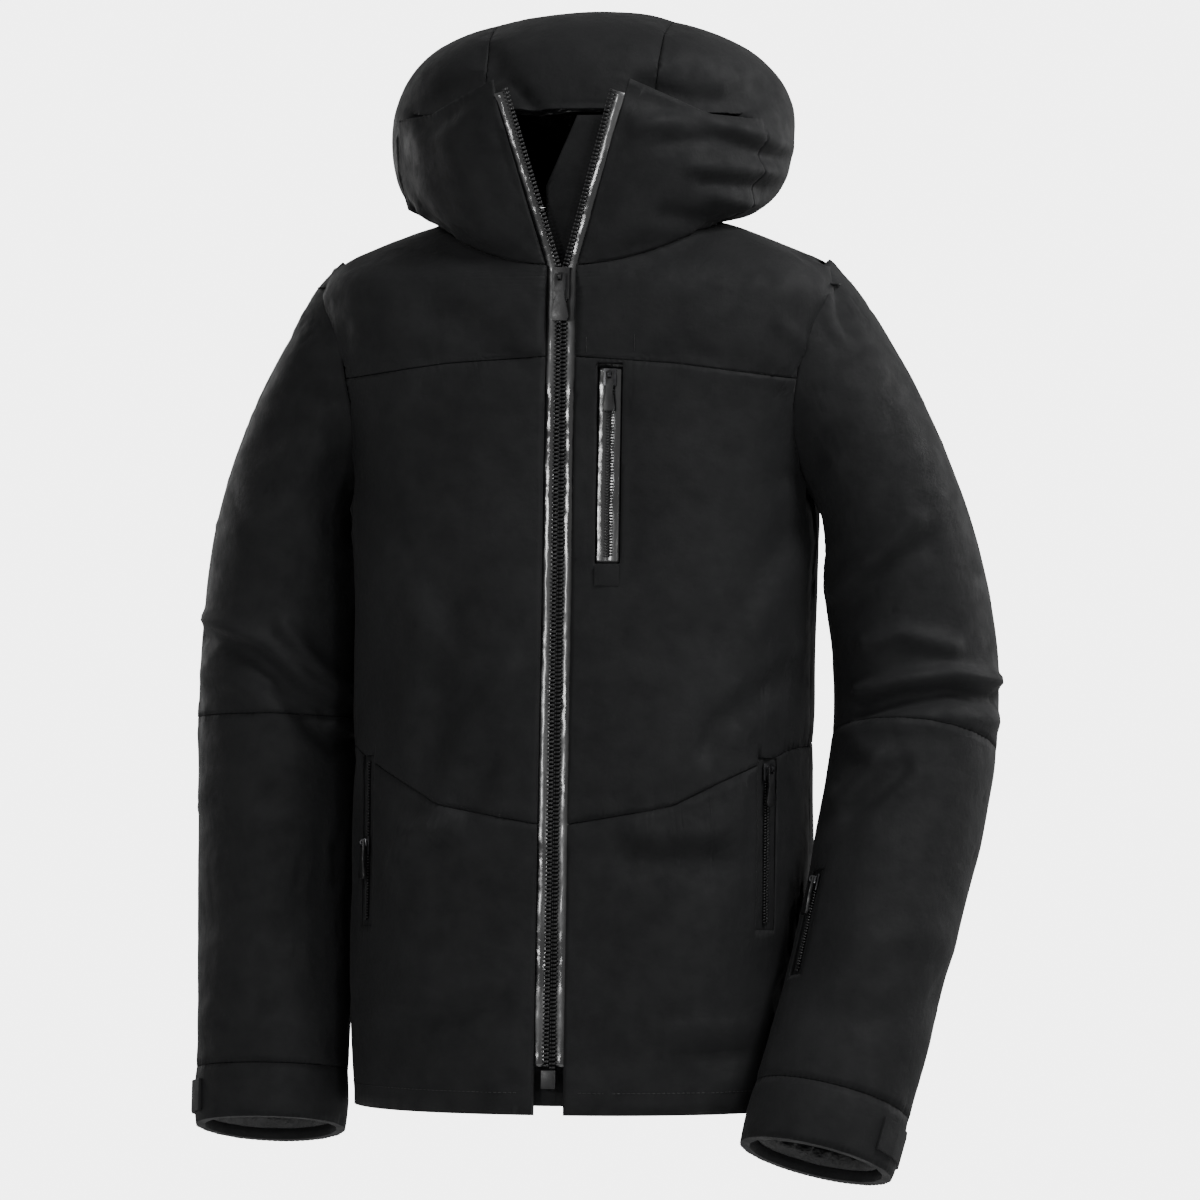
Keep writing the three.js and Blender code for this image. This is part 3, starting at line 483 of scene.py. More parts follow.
left_arm_folds = [
    ([(218, 352), (243, 362), (280, 350)], 7, 6.5),
    ([(213, 302), (246, 311), (281, 316), (322, 310)], 6, -10.0),
    ([(213, 316), (246, 325), (281, 329), (322, 322)], 7, 8.5),
    ([(213, 288), (250, 294), (290, 296), (322, 292)], 9, 6.0),
    ([(200, 283), (223, 266)], 7, 4.0),
    ([(204, 221), (245, 257)], 6, -7.0),
    ([(196, 232), (232, 268)], 8, 4.0),
    ([(196, 394), (235, 429), (252, 448)], 9, 7.0),
    ([(200, 380), (240, 413), (262, 430)], 9, -3.5),
    ([(186, 618), (188, 600), (194, 590)], 5, 3.0),
    ([(194, 622), (196, 604), (202, 594)], 5, -3.0),
    ([(190, 480), (215, 520), (222, 570)], 12, 3.5),
    ([(215, 120), (250, 128), (288, 120)], 15, 3.0),
    ([(180, 70), (225, 62), (270, 78)], 13, -3.0),
]
right_arm_folds = [
    ([(-296, 374), (-249, 356), (-219, 329), (-196, 312)], 7, 7.0),
    ([(-300, 360), (-252, 343), (-222, 316), (-200, 300)], 6, -10.0),
    ([(-233, 367), (-219, 350), (-196, 325), (-177, 310)], 6, 6.5),
    ([(-233, 317), (-210, 289), (-192, 275), (-172, 273)], 6, -9.0),
    ([(-226, 325), (-204, 300), (-186, 288), (-172, 286)], 6, 4.0),
    ([(-290, 330), (-262, 322), (-240, 300)], 9, 4.0),
    ([(-262, 440), (-232, 460), (-205, 500)], 12, 4.0),
    ([(-250, 500), (-222, 530), (-205, 570)], 12, -4.0),
    ([(-290, 235), (-250, 222), (-200, 226)], 14, 3.0),
    ([(-288, 140), (-240, 132), (-192, 146)], 15, -3.0),
    ([(-288, 62), (-240, 52), (-196, 66)], 12, 3.0),
]
hood_folds = [
    ([(42, 752), (89, 762), (160, 733)], 7, 5.0),
    ([(60, 738), (100, 742), (160, 722)], 6, -4.0),
    ([(81, 721), (152, 716)], 6, 4.5),
    ([(90, 708), (154, 702)], 5, -3.5),
    ([(100, 698), (156, 685)], 6, 4.0),
    ([(62, 683), (152, 667)], 8, -5.0),
    ([(-133, 678), (-73, 647)], 9, -4.0),
    ([(-122, 760), (-105, 775), (-74, 797)], 13, -13.0),
    ([(-54, 783), (-35, 760)], 6, -4.0),
    ([(45, 777), (70, 770), (108, 766), (132, 776)], 11, -13.0),
    ([(-146, 745), (-135, 700), (-120, 665)], 9, -4.0),
    ([(-100, 735), (-86, 700), (-76, 668)], 12, 3.0),
]
back_folds = [
    ([(-110, 540), (0, 500), (110, 540)], 22, 3.0),
    ([(-140, 350), (0, 318), (140, 350)], 20, -3.5),
    ([(-140, 322), (0, 292), (140, 325)], 20, 3.0),
    ([(-130, 120), (0, 96), (130, 130)], 24, 3.0),
    ([(-290, 340), (-245, 330), (-200, 340)], 9, -7.0),
    ([(-290, 322), (-245, 312), (-200, 322)], 9, 5.0),
    ([(200, 330), (245, 318), (300, 330)], 9, -7.0),
    ([(200, 312), (245, 300), (300, 312)], 9, 5.0),
    ([(-90, 760), (0, 738), (90, 760)], 16, -4.0),
    ([(-90, 700), (0, 680), (90, 700)], 16, 3.0),
]


def folds_of(name):
    """The front folds that a panel takes part in."""
    if name.startswith("sleeve_left"):
        return left_arm_folds
    if name.startswith("sleeve_right"):
        return right_arm_folds
    if name.startswith(("hood", "chin")):
        return hood_folds
    return body_folds


def folded(name, points, normals):
    """How far the large folds lift each point of a panel, in metres."""
    front, rear = seen(points), points[:, [0, 2]] * 1000 - [0, HEM_Z * 1000]
    facing = np.clip(normals @ np.array(back) * 2.5, 0, 1)
    lift = np.zeros(len(points))
    for line, width, height in folds_of(name):
        lift += fold_height(front, line, width, height * MM) * facing
    facing = np.clip(normals[:, 1] * 2.5, 0, 1)
    for line, width, height in back_folds:
        lift += fold_height(rear, line, width, height * MM) * facing
    return lift


# %% Which way is outwards on a tube of cloth

shoulder_to_wrist = {
    "left": [spot(150, 5, 560), spot(256, 10, 318), spot(243, -48, 165), spot(202, -128, -33)],
    "right": [spot(-150, 5, 560), spot(-243, 10, 330), spot(-240, -12, 170), spot(-238, -46, -20)],
}


def middle_of(name, points):
    """The place on the middle line of the body, an arm or the hood that each point goes round."""
    if name.startswith("sleeve"):
        line = np.array(shoulder_to_wrist["left" if "left" in name else "right"])
        best = np.full(len(points), 9.0)
        middle = np.zeros_like(points)
        for a, b in zip(line, line[1:]):
            share = np.clip(((points - a) @ (b - a)) / ((b - a) @ (b - a)), 0, 1)
            here = a + share[:, None] * (b - a)
            away = np.linalg.norm(points - here, axis=1)
            nearer = away < best
            best[nearer] = away[nearer]
            middle[nearer] = here[nearer]
        return middle
    middle = points * [0, 0, 1] + [0, spot(0, 10, 0).y, 0]
    if name.startswith(("hood", "chin")):
        middle[:, 2] = np.minimum(middle[:, 2], spot(0, 0, 720).z)
    return middle


def outwardness(name, points, normals):
    """1 on the outer face of a wall, 0 on its inner face."""
    outward = points - middle_of(name, points)
    outward /= np.maximum(np.linalg.norm(outward, axis=1), 1e-6)[:, None]
    facing = np.sum(outward * normals, axis=1)
    return np.clip(0.5 + facing, 0, 1)


# %% [markdown]
# Two neighbouring panels are sewn edge to edge, so whatever lifts one edge must lift the other by
# the same amount and in the same direction, or a gap opens. So every point is moved along one shared
# field of directions, taken from the outer faces of all panels together, by a height that depends
# only on where the point is.

# %% Cut a smooth, fine skin with sharp seams
CORNER_BEND = math.radians(16)


def fine_skin(node, name, levels):
    """A finely divided copy of a plain panel that keeps its seam edges sharp."""
    piece = copy_of(node, name)
    form = bmesh.new()
    form.from_mesh(piece.data)
    bmesh.ops.join_triangles(form, faces=form.faces, angle_face_threshold=0.35, angle_shape_threshold=1.2)
    crease = form.edges.layers.float.new("crease_edge")
    for edge in form.edges:
        if len(edge.link_faces) == 2 and edge.calc_face_angle(0) > SEAM_ANGLE:
            edge[crease] = 1
    corner = form.verts.layers.float.new("crease_vert")
    for vertex in form.verts:
        sharp = [edge for edge in vertex.link_edges if edge[crease]]
        if len(sharp) == 2:
            a, b = (edge.other_vert(vertex).co - vertex.co for edge in sharp)
            bend = math.pi - a.angle(b, math.pi)
            vertex[corner] = 1 if bend > CORNER_BEND else 0
        elif len(sharp) > 2:
            vertex[corner] = 1
    form.to_mesh(piece.data)
    form.free()
    apply_modifier(piece, "SUBSURF", levels=levels, render_levels=levels)
    return piece


panel_nodes = [name for name, slot in slot_of.items() if slot == "shell_cloth"]
skins = {name: fine_skin(name, "cloth_" + name, 3) for name in panel_nodes}
print("cut", len(skins), "skins with", sum(len(skin.data.polygons) for skin in skins.values()), "faces")

# %% One field of outward directions for all panels
field_places, field_normals, seam_trees = [], [], {}
for name, skin in skins.items():
    plain = copy_of(name, "plain")
    seam_trees[name] = seam_points(plain)
    bpy.data.objects.remove(plain)
    places, normals = points_of(skin)[::5], normals_of(skin)[::5]
    clear = distance_to(seam_trees[name], places) > 0.005
    clear &= outwardness(name, places, normals) > 0.75
    field_places += list(places[clear])
    field_normals += list(normals[clear])
field = tree_of(field_places)
print("the field has", len(field_places), "directions")


WALL = 9 * MM


def directions_at(points):
    """The outward direction near each point, and how deep in the wall it lies: 0 outside, 1 inside."""
    directions, depths = np.zeros_like(points), np.zeros(len(points))
    for i, point in enumerate(points):
        near = field.find_n(Vector(point), 6)
        direction = sum((field_normals[index] / (0.002 + away) for _, index, away in near), np.zeros(3))
        directions[i] = direction / max(np.linalg.norm(direction), 1e-6)
        depths[i] = np.dot(near[0][0] - Vector(point), directions[i])
    return directions, np.clip(depths / WALL, 0, 1)


# %% Blow the panels up as cloth, and keep how far each place rose


def swelling(node):
    """How far cloth under pressure rises at places of a panel, as a list of places and heights."""
    balloon = copy_of(node, "balloon")
    apply_modifier(balloon, "REMESH", mode="VOXEL", voxel_size=0.006, adaptivity=0)
    apply_modifier(balloon, "SMOOTH", factor=0.5, iterations=3)
    before, normals = points_of(balloon), normals_of(balloon)
    blow_up(balloon, pressure=4.0, growth=0.04)
    rise = np.sum((points_of(balloon) - before) * normals, axis=1)
    rise -= rise.mean()
    bpy.data.objects.remove(balloon)
    return tree_of(before), rise


# %% Keep the cloth flat round the pocket zips, so that their sliders run clear
pockets = ("chest_zip", "hand_zip_left", "hand_zip_right", "forearm_zip")


def end_of_tape(node, level):
    """The middle of a tape's corners that lie at one level."""
    corners = [vertex.co for vertex in nodes[node].data.vertices]
    near = [corner for corner in corners if abs(corner.z - level) < 0.004]
    return (sum(near, Vector()) / len(near))[:]


zip_places = []
for pocket in pockets:
    low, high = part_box(pocket + "_tape")
    zip_places.append([end_of_tape(pocket + "_tape", high.z), end_of_tape(pocket + "_tape", low.z)])
print("the cloth stays flat beside", len(zip_places), "zips")


CALM_WIDTH, CALM_SHARE = 20 * MM, 0.85


def calm_at(points):
    """1 away from the pocket zips, close to 0 beside them."""
    nearest = np.zeros(len(points))
    for line in zip_places:
        nearest = np.maximum(nearest, fold_height(points, line, CALM_WIDTH, 1.0))
    return 1 - CALM_SHARE * nearest


# %% Make one padded panel
CUFF_TOP, CUFF_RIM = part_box("sleeve_right_cuff")[1].z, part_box("sleeve_right_cuff")[0].z
CUFF_Y = (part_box("sleeve_right_cuff")[1].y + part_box("sleeve_right_cuff")[0].y) / 2
CUFF_TILT = 0.16
PUCKER_REACH, GROOVE_WIDTH, GROOVE_DEPTH = 14 * MM, 1.6 * MM, 0.8 * MM


def tipped(node, points):
    """The right cuff hangs open to the front: its front rim rides up and its back rim drops."""
    if node in ("sleeve_right_cuff", "sleeve_right_lining"):
        share = np.clip((CUFF_TOP - points[:, 2]) / (CUFF_TOP - CUFF_RIM), 0, 1)
        points[:, 2] -= share**2 * (points[:, 1] - CUFF_Y) * CUFF_TILT
    return points


def padded_panel(node, piece, puff=1.0):
    """Lifts a fine skin into its folds, puckers and padding."""
    points = points_of(piece)
    normals, depth = directions_at(points)
    away = distance_to(seam_trees[node], points)
    near_seam = np.exp(-((away / PUCKER_REACH) ** 2))
    crown = 1 - np.exp(-away / PUCKER_REACH)
    lift = puff * MM * crown
    lift += folded(node, points, normals)
    lift += noise_at(points, 9, 1, (1, 1, 0.6)) * 2.0 * MM
    lift += noise_at(points, 28, 2, (1, 1, 0.7)) * 0.7 * MM * (0.35 + crown)
    lift += noise_at(points, 75, 3) * 0.35 * MM * near_seam
    swelled = swelling(node)
    if swelled:
        tree, rise = swelled
        nearest = [tree.find_n(Vector(p), 3) for p in points]
        lift += np.array([np.mean([rise[i] for _, i, _ in found]) for found in nearest]) * crown * 0.8
    deepest = (5.0 if node.startswith("sleeve") else 6.5) * MM
    lift = np.where(lift < 0, -deepest * np.tanh(-lift / deepest), lift)
    lift *= (1 - 0.8 * depth) * calm_at(points)
    groove = GROOVE_DEPTH * np.exp(-((away / GROOVE_WIDTH) ** 2)) * (1 - depth)
    set_points(piece, tipped(node, points + normals * (lift - groove)[:, None]))
    piece.data.shade_smooth()
    dress(piece, "shell_cloth")
    stand_in(piece, node)
    return piece


panels = {name: padded_panel(name, skins[name]) for name in panel_nodes}
faces = sum(len(piece.data.polygons) for piece in panels.values())
print("made", len(panels), "padded panels with", faces, "faces")

# %% [markdown]
# ## Linings, storm flap and pocket bags
# These are single sheets of thin cloth, sewn in at their edges and loose between them, so they
# crumple into the free space. A plain sheet is cut finer, and noise pushes it away from the shell.

# %% Thin sheets


def cut_finer(piece, levels):
    """Splits every face into four, without changing the shape."""
    apply_modifier(piece, "SUBSURF", subdivision_type="SIMPLE", levels=levels, render_levels=levels)


LINING_SINK = 1.8


def thin_sheet(node, levels, crumple, finish="lining_cloth"):
    """A sewn-in sheet; crumple is how far in mm its folds stand into the free space.

    A lining also lies a little clear of the shell, so that no crease of the shell reaches it.
    """
    piece = copy_of(node, "sheet_" + node)
    cut_finer(piece, levels)
    points = points_of(piece)
    inward = middle_of(node, points) - points
    inward /= np.maximum(np.linalg.norm(inward, axis=1), 1e-6)[:, None]
    wave = np.abs(noise_at(points, 24, 4, (1, 1, 0.5))) + 0.5 * np.abs(noise_at(points, 60, 5))
    sink = 0.0 if "bag" in node or node == "storm_flap" else LINING_SINK
    set_points(piece, tipped(node, points + inward * ((wave * crumple + sink) * MM)[:, None]))
    piece.data.shade_smooth()
    dress(piece, "lining_cloth", finish)
    stand_in(piece, node)
    return piece


body_panels = [panels[name] for name in panel_nodes if name.startswith(("front", "back"))]
thin_sheet("body_lining", 2, 5)
thin_sheet("hood_lining", 3, 12)
for side in ("left", "right"):
    thin_sheet(f"sleeve_{side}_lining", 2, 3)
    bag = f"hand_pocket_bag_{side}"
    thin_sheet(bag, 2, 0)
thin_sheet("chest_pocket_bag", 2, 0)
thin_sheet("storm_flap", 3, 1.5, finish="shell_cloth")
print("made the linings, the flap and three pocket bags")

# %% [markdown]
# ## Zips
# A moulded zip is a row of separate teeth on each tape, the two rows half a step apart. One tooth is
# modelled and set along the line that the plain row follows; each level of the plain row gives the
# middle of the line, and each level of the tape gives the direction across it.

# %% Follow a zip from its plain solids


def edges_of(node):
    """Both ends of every edge of a plain solid."""
    mesh = nodes[node].data
    ends = np.array([[mesh.vertices[i].co[:] for i in edge.vertices] for edge in mesh.edges])
    return ends[:, 0], ends[:, 1]


def level_points(ends, z):
    """Where the edges of a plain solid cross one level."""
    a, b = ends
    crossing = (a[:, 2] - z) * (b[:, 2] - z) < 0
    a, b = a[crossing], b[crossing]
    return a + ((z - a[:, 2]) / (b[:, 2] - a[:, 2]))[:, None] * (b - a)


def zip_line(teeth, tape, pitch):
    """Places along a row, with the directions along, across and out of the tape at each."""
    low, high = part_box(teeth)
    levels = np.arange(low.z + MM, high.z - MM, MM)
    teeth_ends, tape_ends = edges_of(teeth), edges_of(tape)
    middles = np.array([level_points(teeth_ends, z).mean(axis=0) for z in levels])
    tape_low, tape_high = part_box(tape)
    acrosses = []
    for z in levels:
        cut = level_points(tape_ends, min(max(z, tape_low.z + MM), tape_high.z - MM))
        across = np.linalg.svd(cut - cut.mean(axis=0))[2][0]
        acrosses.append(across * (1 if across[0] > 0 else -1))
    acrosses = np.array(acrosses)
    step = np.linalg.norm(np.diff(middles, axis=0), axis=1)
    reach = np.concatenate([[0], np.cumsum(step)])
    at = np.arange(pitch / 2, reach[-1], pitch)
    middle = np.stack([np.interp(at, reach, middles[:, k]) for k in range(3)], axis=1)
    across = np.stack([np.interp(at, reach, acrosses[:, k]) for k in range(3)], axis=1)
    along = np.gradient(middle, axis=0)
    along /= np.linalg.norm(along, axis=1)[:, None]
    across -= np.sum(across * along, axis=1)[:, None] * along
    across /= np.linalg.norm(across, axis=1)[:, None]
    out = np.cross(along, across)
    out *= -np.sign(out[:, 1])[:, None]
    return middle, along, across, out


print("zips can be followed")

# %% Model one tooth


def one_tooth(reach, thickness, height):
    """A tooth with a neck on the tape and a wider head; its head points along x."""
    bpy.ops.object.select_all(action="DESELECT")
    bpy.ops.mesh.primitive_cube_add(size=1)
    bpy.ops.object.mode_set(mode="EDIT")
    bpy.ops.transform.resize(value=(reach * 0.6, thickness * 0.72, height))
    bpy.ops.mesh.select_all(action="DESELECT")
    bpy.ops.object.mode_set(mode="OBJECT")
    tooth = bpy.context.object
    for face in tooth.data.polygons:
        face.select = face.normal.x > 0.9
    bpy.ops.object.mode_set(mode="EDIT")
    bpy.ops.mesh.select_mode(type="FACE")
    bpy.ops.mesh.extrude_region_move(TRANSFORM_OT_translate={"value": (reach * 0.12, 0, 0)})
    bpy.ops.transform.resize(value=(1, 1.38, 1))
    bpy.ops.mesh.extrude_region_move(TRANSFORM_OT_translate={"value": (reach * 0.28, 0, 0)})
    bpy.ops.mesh.select_all(action="SELECT")
    bpy.ops.mesh.bevel(offset=thickness * 0.16, segments=1, affect="EDGES")
    bpy.ops.transform.translate(value=(-reach * 0.2, 0, 0))
    bpy.ops.object.mode_set(mode="OBJECT")
    points = points_of(tooth)
    faces = [tuple(face.vertices) for face in tooth.data.polygons]
    bpy.data.objects.remove(tooth)
    return points, faces


# %% Set rows of teeth


def tooth_rows(name, node, line, rows, tooth, stand=0.0):
    """One piece of many teeth; rows are (towards, offset, phase): head direction, shift, half step."""
    middle, along, across, out = line
    points, faces = tooth
    all_points, all_faces = [], []
    for towards, offset, phase in rows:
        shifted = middle + along * phase + across * offset + out * stand
        for m, t, a, n in zip(shifted, along, across, out):
            base = len(all_points) * len(points)
            side = a * towards
            depth = np.cross(side, t)
            all_points.append(m + points @ np.array([side, t, depth]))
            all_faces += [tuple(i + base for i in face) for face in faces]
    piece = new_piece(name, mesh_of(name, np.concatenate(all_points).tolist(), all_faces))
    piece.data.shade_smooth()
    dress(piece, slot_of[node])
    stand_in(piece, node)
    return piece


main_pitch = 0.0031
main_tooth = one_tooth(0.0046, 0.0023, 0.0026)
for side, towards in (("left", -1), ("right", 1)):
    row = f"main_zip_teeth_{side}"
    line = zip_line(row, f"main_zip_tape_{side}", main_pitch)
    phase = main_pitch / 4 * towards
    piece = tooth_rows(row.replace("teeth", "row"), row, line, [(towards, 0, phase)], main_tooth)
    print(piece.name, len(line[0]), "teeth")

pocket_pitch = 0.0022
pocket_tooth = one_tooth(0.0027, 0.0016, 0.0018)
for pocket in pockets:
    node = pocket + "_teeth"
    line = zip_line(node, pocket + "_tape", pocket_pitch)
    rows = [(1, -0.0014, 0), (-1, 0.0014, pocket_pitch / 2)]
    piece = tooth_rows(pocket + "_row", node, line, rows, pocket_tooth, 0.0011)
    print(piece.name, 2 * len(line[0]), "teeth")

# %% [markdown]
# The tapes carry a bonded film, so they are glossy. Each tape swells a little between the teeth and
# its seam, so it catches a long thin highlight, and ripples along its length break that into
# patches. A tape is a net of points laid across the zip's line, thickened by a Solidify modifier.

# %% Rippled zip tapes


def longer(line, extra):
    """The same line with steps added at both ends, extra metres each."""
    middle, along, across, out = line
    steps = np.linspace(extra, extra / 2, 2)[:, None]
    before, after = middle[0] - along[0] * steps, middle[-1] + along[-1] * steps[::-1]
    middle = np.concatenate([before, middle, after])
    others = (along, across, out)
    return [middle] + [np.concatenate([part[:1]] * 2 + [part] + [part[-1:]] * 2) for part in others]


def film_tape(name, node, line, edges, bands, swell=0.9, ripple=0.5, finish=None):
    """A tape between two edges across the line, with one or two bands that swell."""
    middle, along, across, out = line
    columns = 8 * bands + 1
    share = np.linspace(0, 1, columns)
    points = []
    for i, (m, a, o) in enumerate(zip(middle, across, out)):
        places = m + a * (edges[0] + share * (edges[1] - edges[0]))[:, None]
        rise = np.abs(np.sin(share * bands * math.pi)) * swell
        rise += (noise_at(places, 60, 6, (0.4, 0.4, 1)) + 0.6 * noise_at(places, 150, 7)) * ripple
        rise += noise_at(places, 13, 8, (0.2, 0.2, 1)) * 2.4 * ripple
        points += list(places + o * ((rise - swell - 0.2) * MM)[:, None])
    mesh = mesh_of(name, [tuple(p) for p in points], net_faces(len(middle), columns))
    piece = new_piece(name, mesh)
    form = bmesh.new()
    form.from_mesh(mesh)
    bmesh.ops.recalc_face_normals(form, faces=form.faces)
    if sum(face.normal.y for face in form.faces) > 0:
        bmesh.ops.reverse_faces(form, faces=form.faces)
    form.to_mesh(mesh)
    form.free()
    apply_modifier(piece, "SOLIDIFY", thickness=0.0006, offset=-1)
    piece.data.shade_smooth()
    dress(piece, slot_of[node], finish)
    stand_in(piece, node)
    return piece


TAPE_STEP = 0.003
for side, towards in (("left", -1), ("right", 1)):
    node = f"main_zip_tape_{side}"
    line = zip_line(f"main_zip_teeth_{side}", node, TAPE_STEP)
    edges = sorted((-towards * 0.0012, -towards * 0.0098))
    film_tape(f"main_zip_film_{side}", node, line, edges, 1)
for pocket in pockets:
    line = zip_line(pocket + "_teeth", pocket + "_tape", TAPE_STEP)
    if pocket == "chest_zip":
        extra, half_width, finish = 0.006, 0.0092, None
    else:
        extra, half_width, finish = 0.009, 0.0105, "shell_cloth"
    edges = (-half_width, half_width)
    film_tape(pocket + "_film", pocket + "_tape", longer(line, extra), edges, 2, 0.7, 0.5, finish)
print("made six tapes")

# %% [markdown]
# ## Sliders, pullers and small trims
# Cast and moulded trims have no sharp corner: their edges catch a thin line of light. Each plain
# solid is copied and its hard edges are bevelled by a few tenths of a millimetre.

# %% Rounded trims


def rounded_trim(node, width, finish=None):
    """A copy of a plain trim with its hard edges rounded by a width in mm."""
    piece = copy_of(node, "trim_" + node)
    apply_modifier(piece, "BEVEL", width=width * MM, segments=3, limit_method="ANGLE")
    bpy.context.view_layer.objects.active = piece
    piece.select_set(True)
    bpy.ops.object.shade_smooth_by_angle(angle=math.radians(40))
    piece.select_set(False)
    dress(piece, slot_of[node], finish)
    stand_in(piece, node)
    return piece


for node in slot_of:
    if node.endswith("slider"):
        rounded_trim(node, 0.35)
    elif node.endswith("puller"):
        rounded_trim(node, 0.5)
    elif node.endswith("zip_box"):
        rounded_trim(node, 0.6)
    elif node.startswith("cuff_tab"):
        rounded_trim(node, 0.5, finish="shell_cloth")
    elif node == "chest_zip_garage":
        rounded_trim(node, 0.25, finish="shell_cloth")
    elif node == "hang_loop":
        rounded_trim(node, 0.25)
print("made the sliders, pullers, box, tabs, loop and garage")

# %% [markdown]
# ## Shoulder gussets
# Where the yoke's seam meets the armhole, three cloths come to one point. A small gusset lies under
# that point, so no gap shows. It is laid like a tablecloth: its height is felt for with rays from
# above, gaps are filled from their neighbours, and it is set a little below the cloth round it.
# Its net of places is in millimetres.

# %% Lay a gusset under each shoulder point
GUSSET_ACROSS, GUSSET_ALONG = np.linspace(160, 204, 23), np.linspace(-34, 30, 33)
GUSSET_DROP = 2.2 * MM


def cloth_skin(pieces):
    """The cloth of some panels together, for rays to hit."""
    points, faces = [], []
    for piece in pieces:
        base = len(points)
        points += [vertex.co.copy() for vertex in piece.data.vertices]
        faces += [tuple(i + base for i in face.vertices) for face in piece.data.polygons]
    return BVHTree.FromPolygons(points, faces)


def feel_heights(skin, across, along):
    """Heights of the cloth under a net of places; a gap gives no height."""
    heights = np.full((len(across), len(along)), np.nan)
    for i, x in enumerate(across):
        for j, y in enumerate(along):
            hit = skin.ray_cast(spot(x, y, 760), Vector((0, 0, -1)), 0.3)
            if hit[0]:
                heights[i, j] = hit[0].z
    for i in range(len(across)):
        for j in range(len(along)):
            near = heights[max(i - 4, 0) : i + 5, max(j - 4, 0) : j + 5]
            if heights[i, j] < np.nanmedian(near) - 0.004:
                heights[i, j] = np.nan
    return heights


def fill_gaps(heights, gaps):
    """Gives every gap a height that runs smoothly between its neighbours."""
    heights[gaps] = np.nanmean(heights)
    for _ in range(400):
        wide = np.pad(heights, 1, mode="edge")
        mean = (wide[:-2, 1:-1] + wide[2:, 1:-1] + wide[1:-1, :-2] + wide[1:-1, 2:]) / 4
        heights[gaps] = mean[gaps]
    return heights


def shoulder_gusset(side, sign):
    """A small sewn-in piece below the point where the yokes and the sleeve meet."""
    round_it = (f"front_{side}_yoke", "back_yoke", f"sleeve_{side}_upper")
    across, along = sign * GUSSET_ACROSS, GUSSET_ALONG
    heights = feel_heights(cloth_skin([panels[node] for node in round_it]), across, along)
    gaps = np.isnan(heights)
    heights = fill_gaps(heights, gaps)
    net = []
    for i, x in enumerate(across):
        for j, y in enumerate(along):
            place = spot(x, y, 0)
            net.append((place.x, place.y, heights[i, j] - GUSSET_DROP))
    quads = net_faces(len(across), len(along))
    if sign > 0:
        quads = [quad[::-1] for quad in quads]
    piece = new_piece(f"shoulder_gusset_{side}", mesh_of("gusset", net, quads))
    apply_modifier(piece, "SMOOTH", factor=0.5, iterations=3)
    apply_modifier(piece, "SOLIDIFY", thickness=0.0012, offset=-1)
    piece.data.shade_smooth()
    dress(piece, "shell_cloth")
    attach(piece, "jacket")
    print(piece.name, "fills", int(gaps.sum()), "places")


for side, sign in (("left", 1), ("right", -1)):
    shoulder_gusset(side, sign)

# %% [markdown]
# ## Stitching
# Thread shows at the hem, round the end patch of the chest zip, and as short bars where a pocket's
# ends are held. One stitch is a thin rod with rounded ends; rows of it are laid on the cloth at the
# hem, and two short bars at the chest pocket.

# %% One stitch


def one_stitch(length, radius):
    """A thin rod along z with both ends drawn in."""
    bpy.ops.object.select_all(action="DESELECT")
    bpy.ops.mesh.primitive_cylinder_add(vertices=6, radius=radius, depth=length * 0.7)
    stitch = bpy.context.object
    bpy.ops.object.mode_set(mode="EDIT")
    bpy.ops.mesh.select_mode(type="FACE")
    bpy.ops.mesh.select_all(action="DESELECT")
    bpy.ops.object.mode_set(mode="OBJECT")
    for face in stitch.data.polygons:
        if abs(face.normal.z) > 0.9:
            face.select = True
    bpy.ops.object.mode_set(mode="EDIT")
    bpy.ops.mesh.inset(thickness=radius * 0.5, depth=length * 0.15)
    bpy.ops.object.mode_set(mode="OBJECT")
    points = points_of(stitch)
    faces = [tuple(face.vertices) for face in stitch.data.polygons]
    bpy.data.objects.remove(stitch)
    return points, faces


thread = one_stitch(0.0026, 0.00028)
print("one stitch has", len(thread[1]), "faces")

# %% Find the cloth
cloth = cloth_skin(body_panels)
print("stitches lie on", len(body_panels), "panels")


def on_front(across, above):
    """The place and direction out of the cloth, as seen from the front at (across, above) mm."""
    right = Vector((math.cos(azimuth), math.sin(azimuth), 0))
    through = target + (right * (across - AIM_ACROSS) + back.cross(right) * (above - AIM_ABOVE)) * MM
    hit = cloth.ray_cast(camera.location, through - camera.location)
    return hit[0], hit[1]


# %% Rows of stitches


def stitch_row(name, places, pitch, node="front_left_chest"):
    """Stitches laid end to end along a list of (place, outward direction)."""
    points, faces = thread
    route = np.array([place for place, _ in places])
    outs = np.array([out for _, out in places])
    reach = np.concatenate([[0], np.cumsum(np.linalg.norm(np.diff(route, axis=0), axis=1))])

    def along_row(values, at):
        return np.array([np.interp(at, reach, values[:, k]) for k in range(3)])

    all_points, all_faces = [], []
    for at in np.arange(pitch / 2, reach[-1], pitch):
        here = along_row(route, at)
        there = along_row(route, min(at + pitch, reach[-1]) + 1e-6)
        out = along_row(outs, at)
        along = there - here if at + pitch < reach[-1] else route[-1] - route[-2]
        along = along / max(np.linalg.norm(along), 1e-9)
        side = np.cross(out, along)
        side /= max(np.linalg.norm(side), 1e-9)
        base = len(all_points) * len(points)
        all_points.append(here + out * 0.0001 + points @ np.array([side, np.cross(along, side), along]))
        all_faces += [tuple(i + base for i in face) for face in faces]
    piece = new_piece(name, mesh_of(name, np.concatenate(all_points).tolist(), all_faces))
    piece.data.shade_smooth()
    dress(piece, "zip_plastic")
    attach(piece, body_of[node])
    print(name, len(all_points), "stitches")


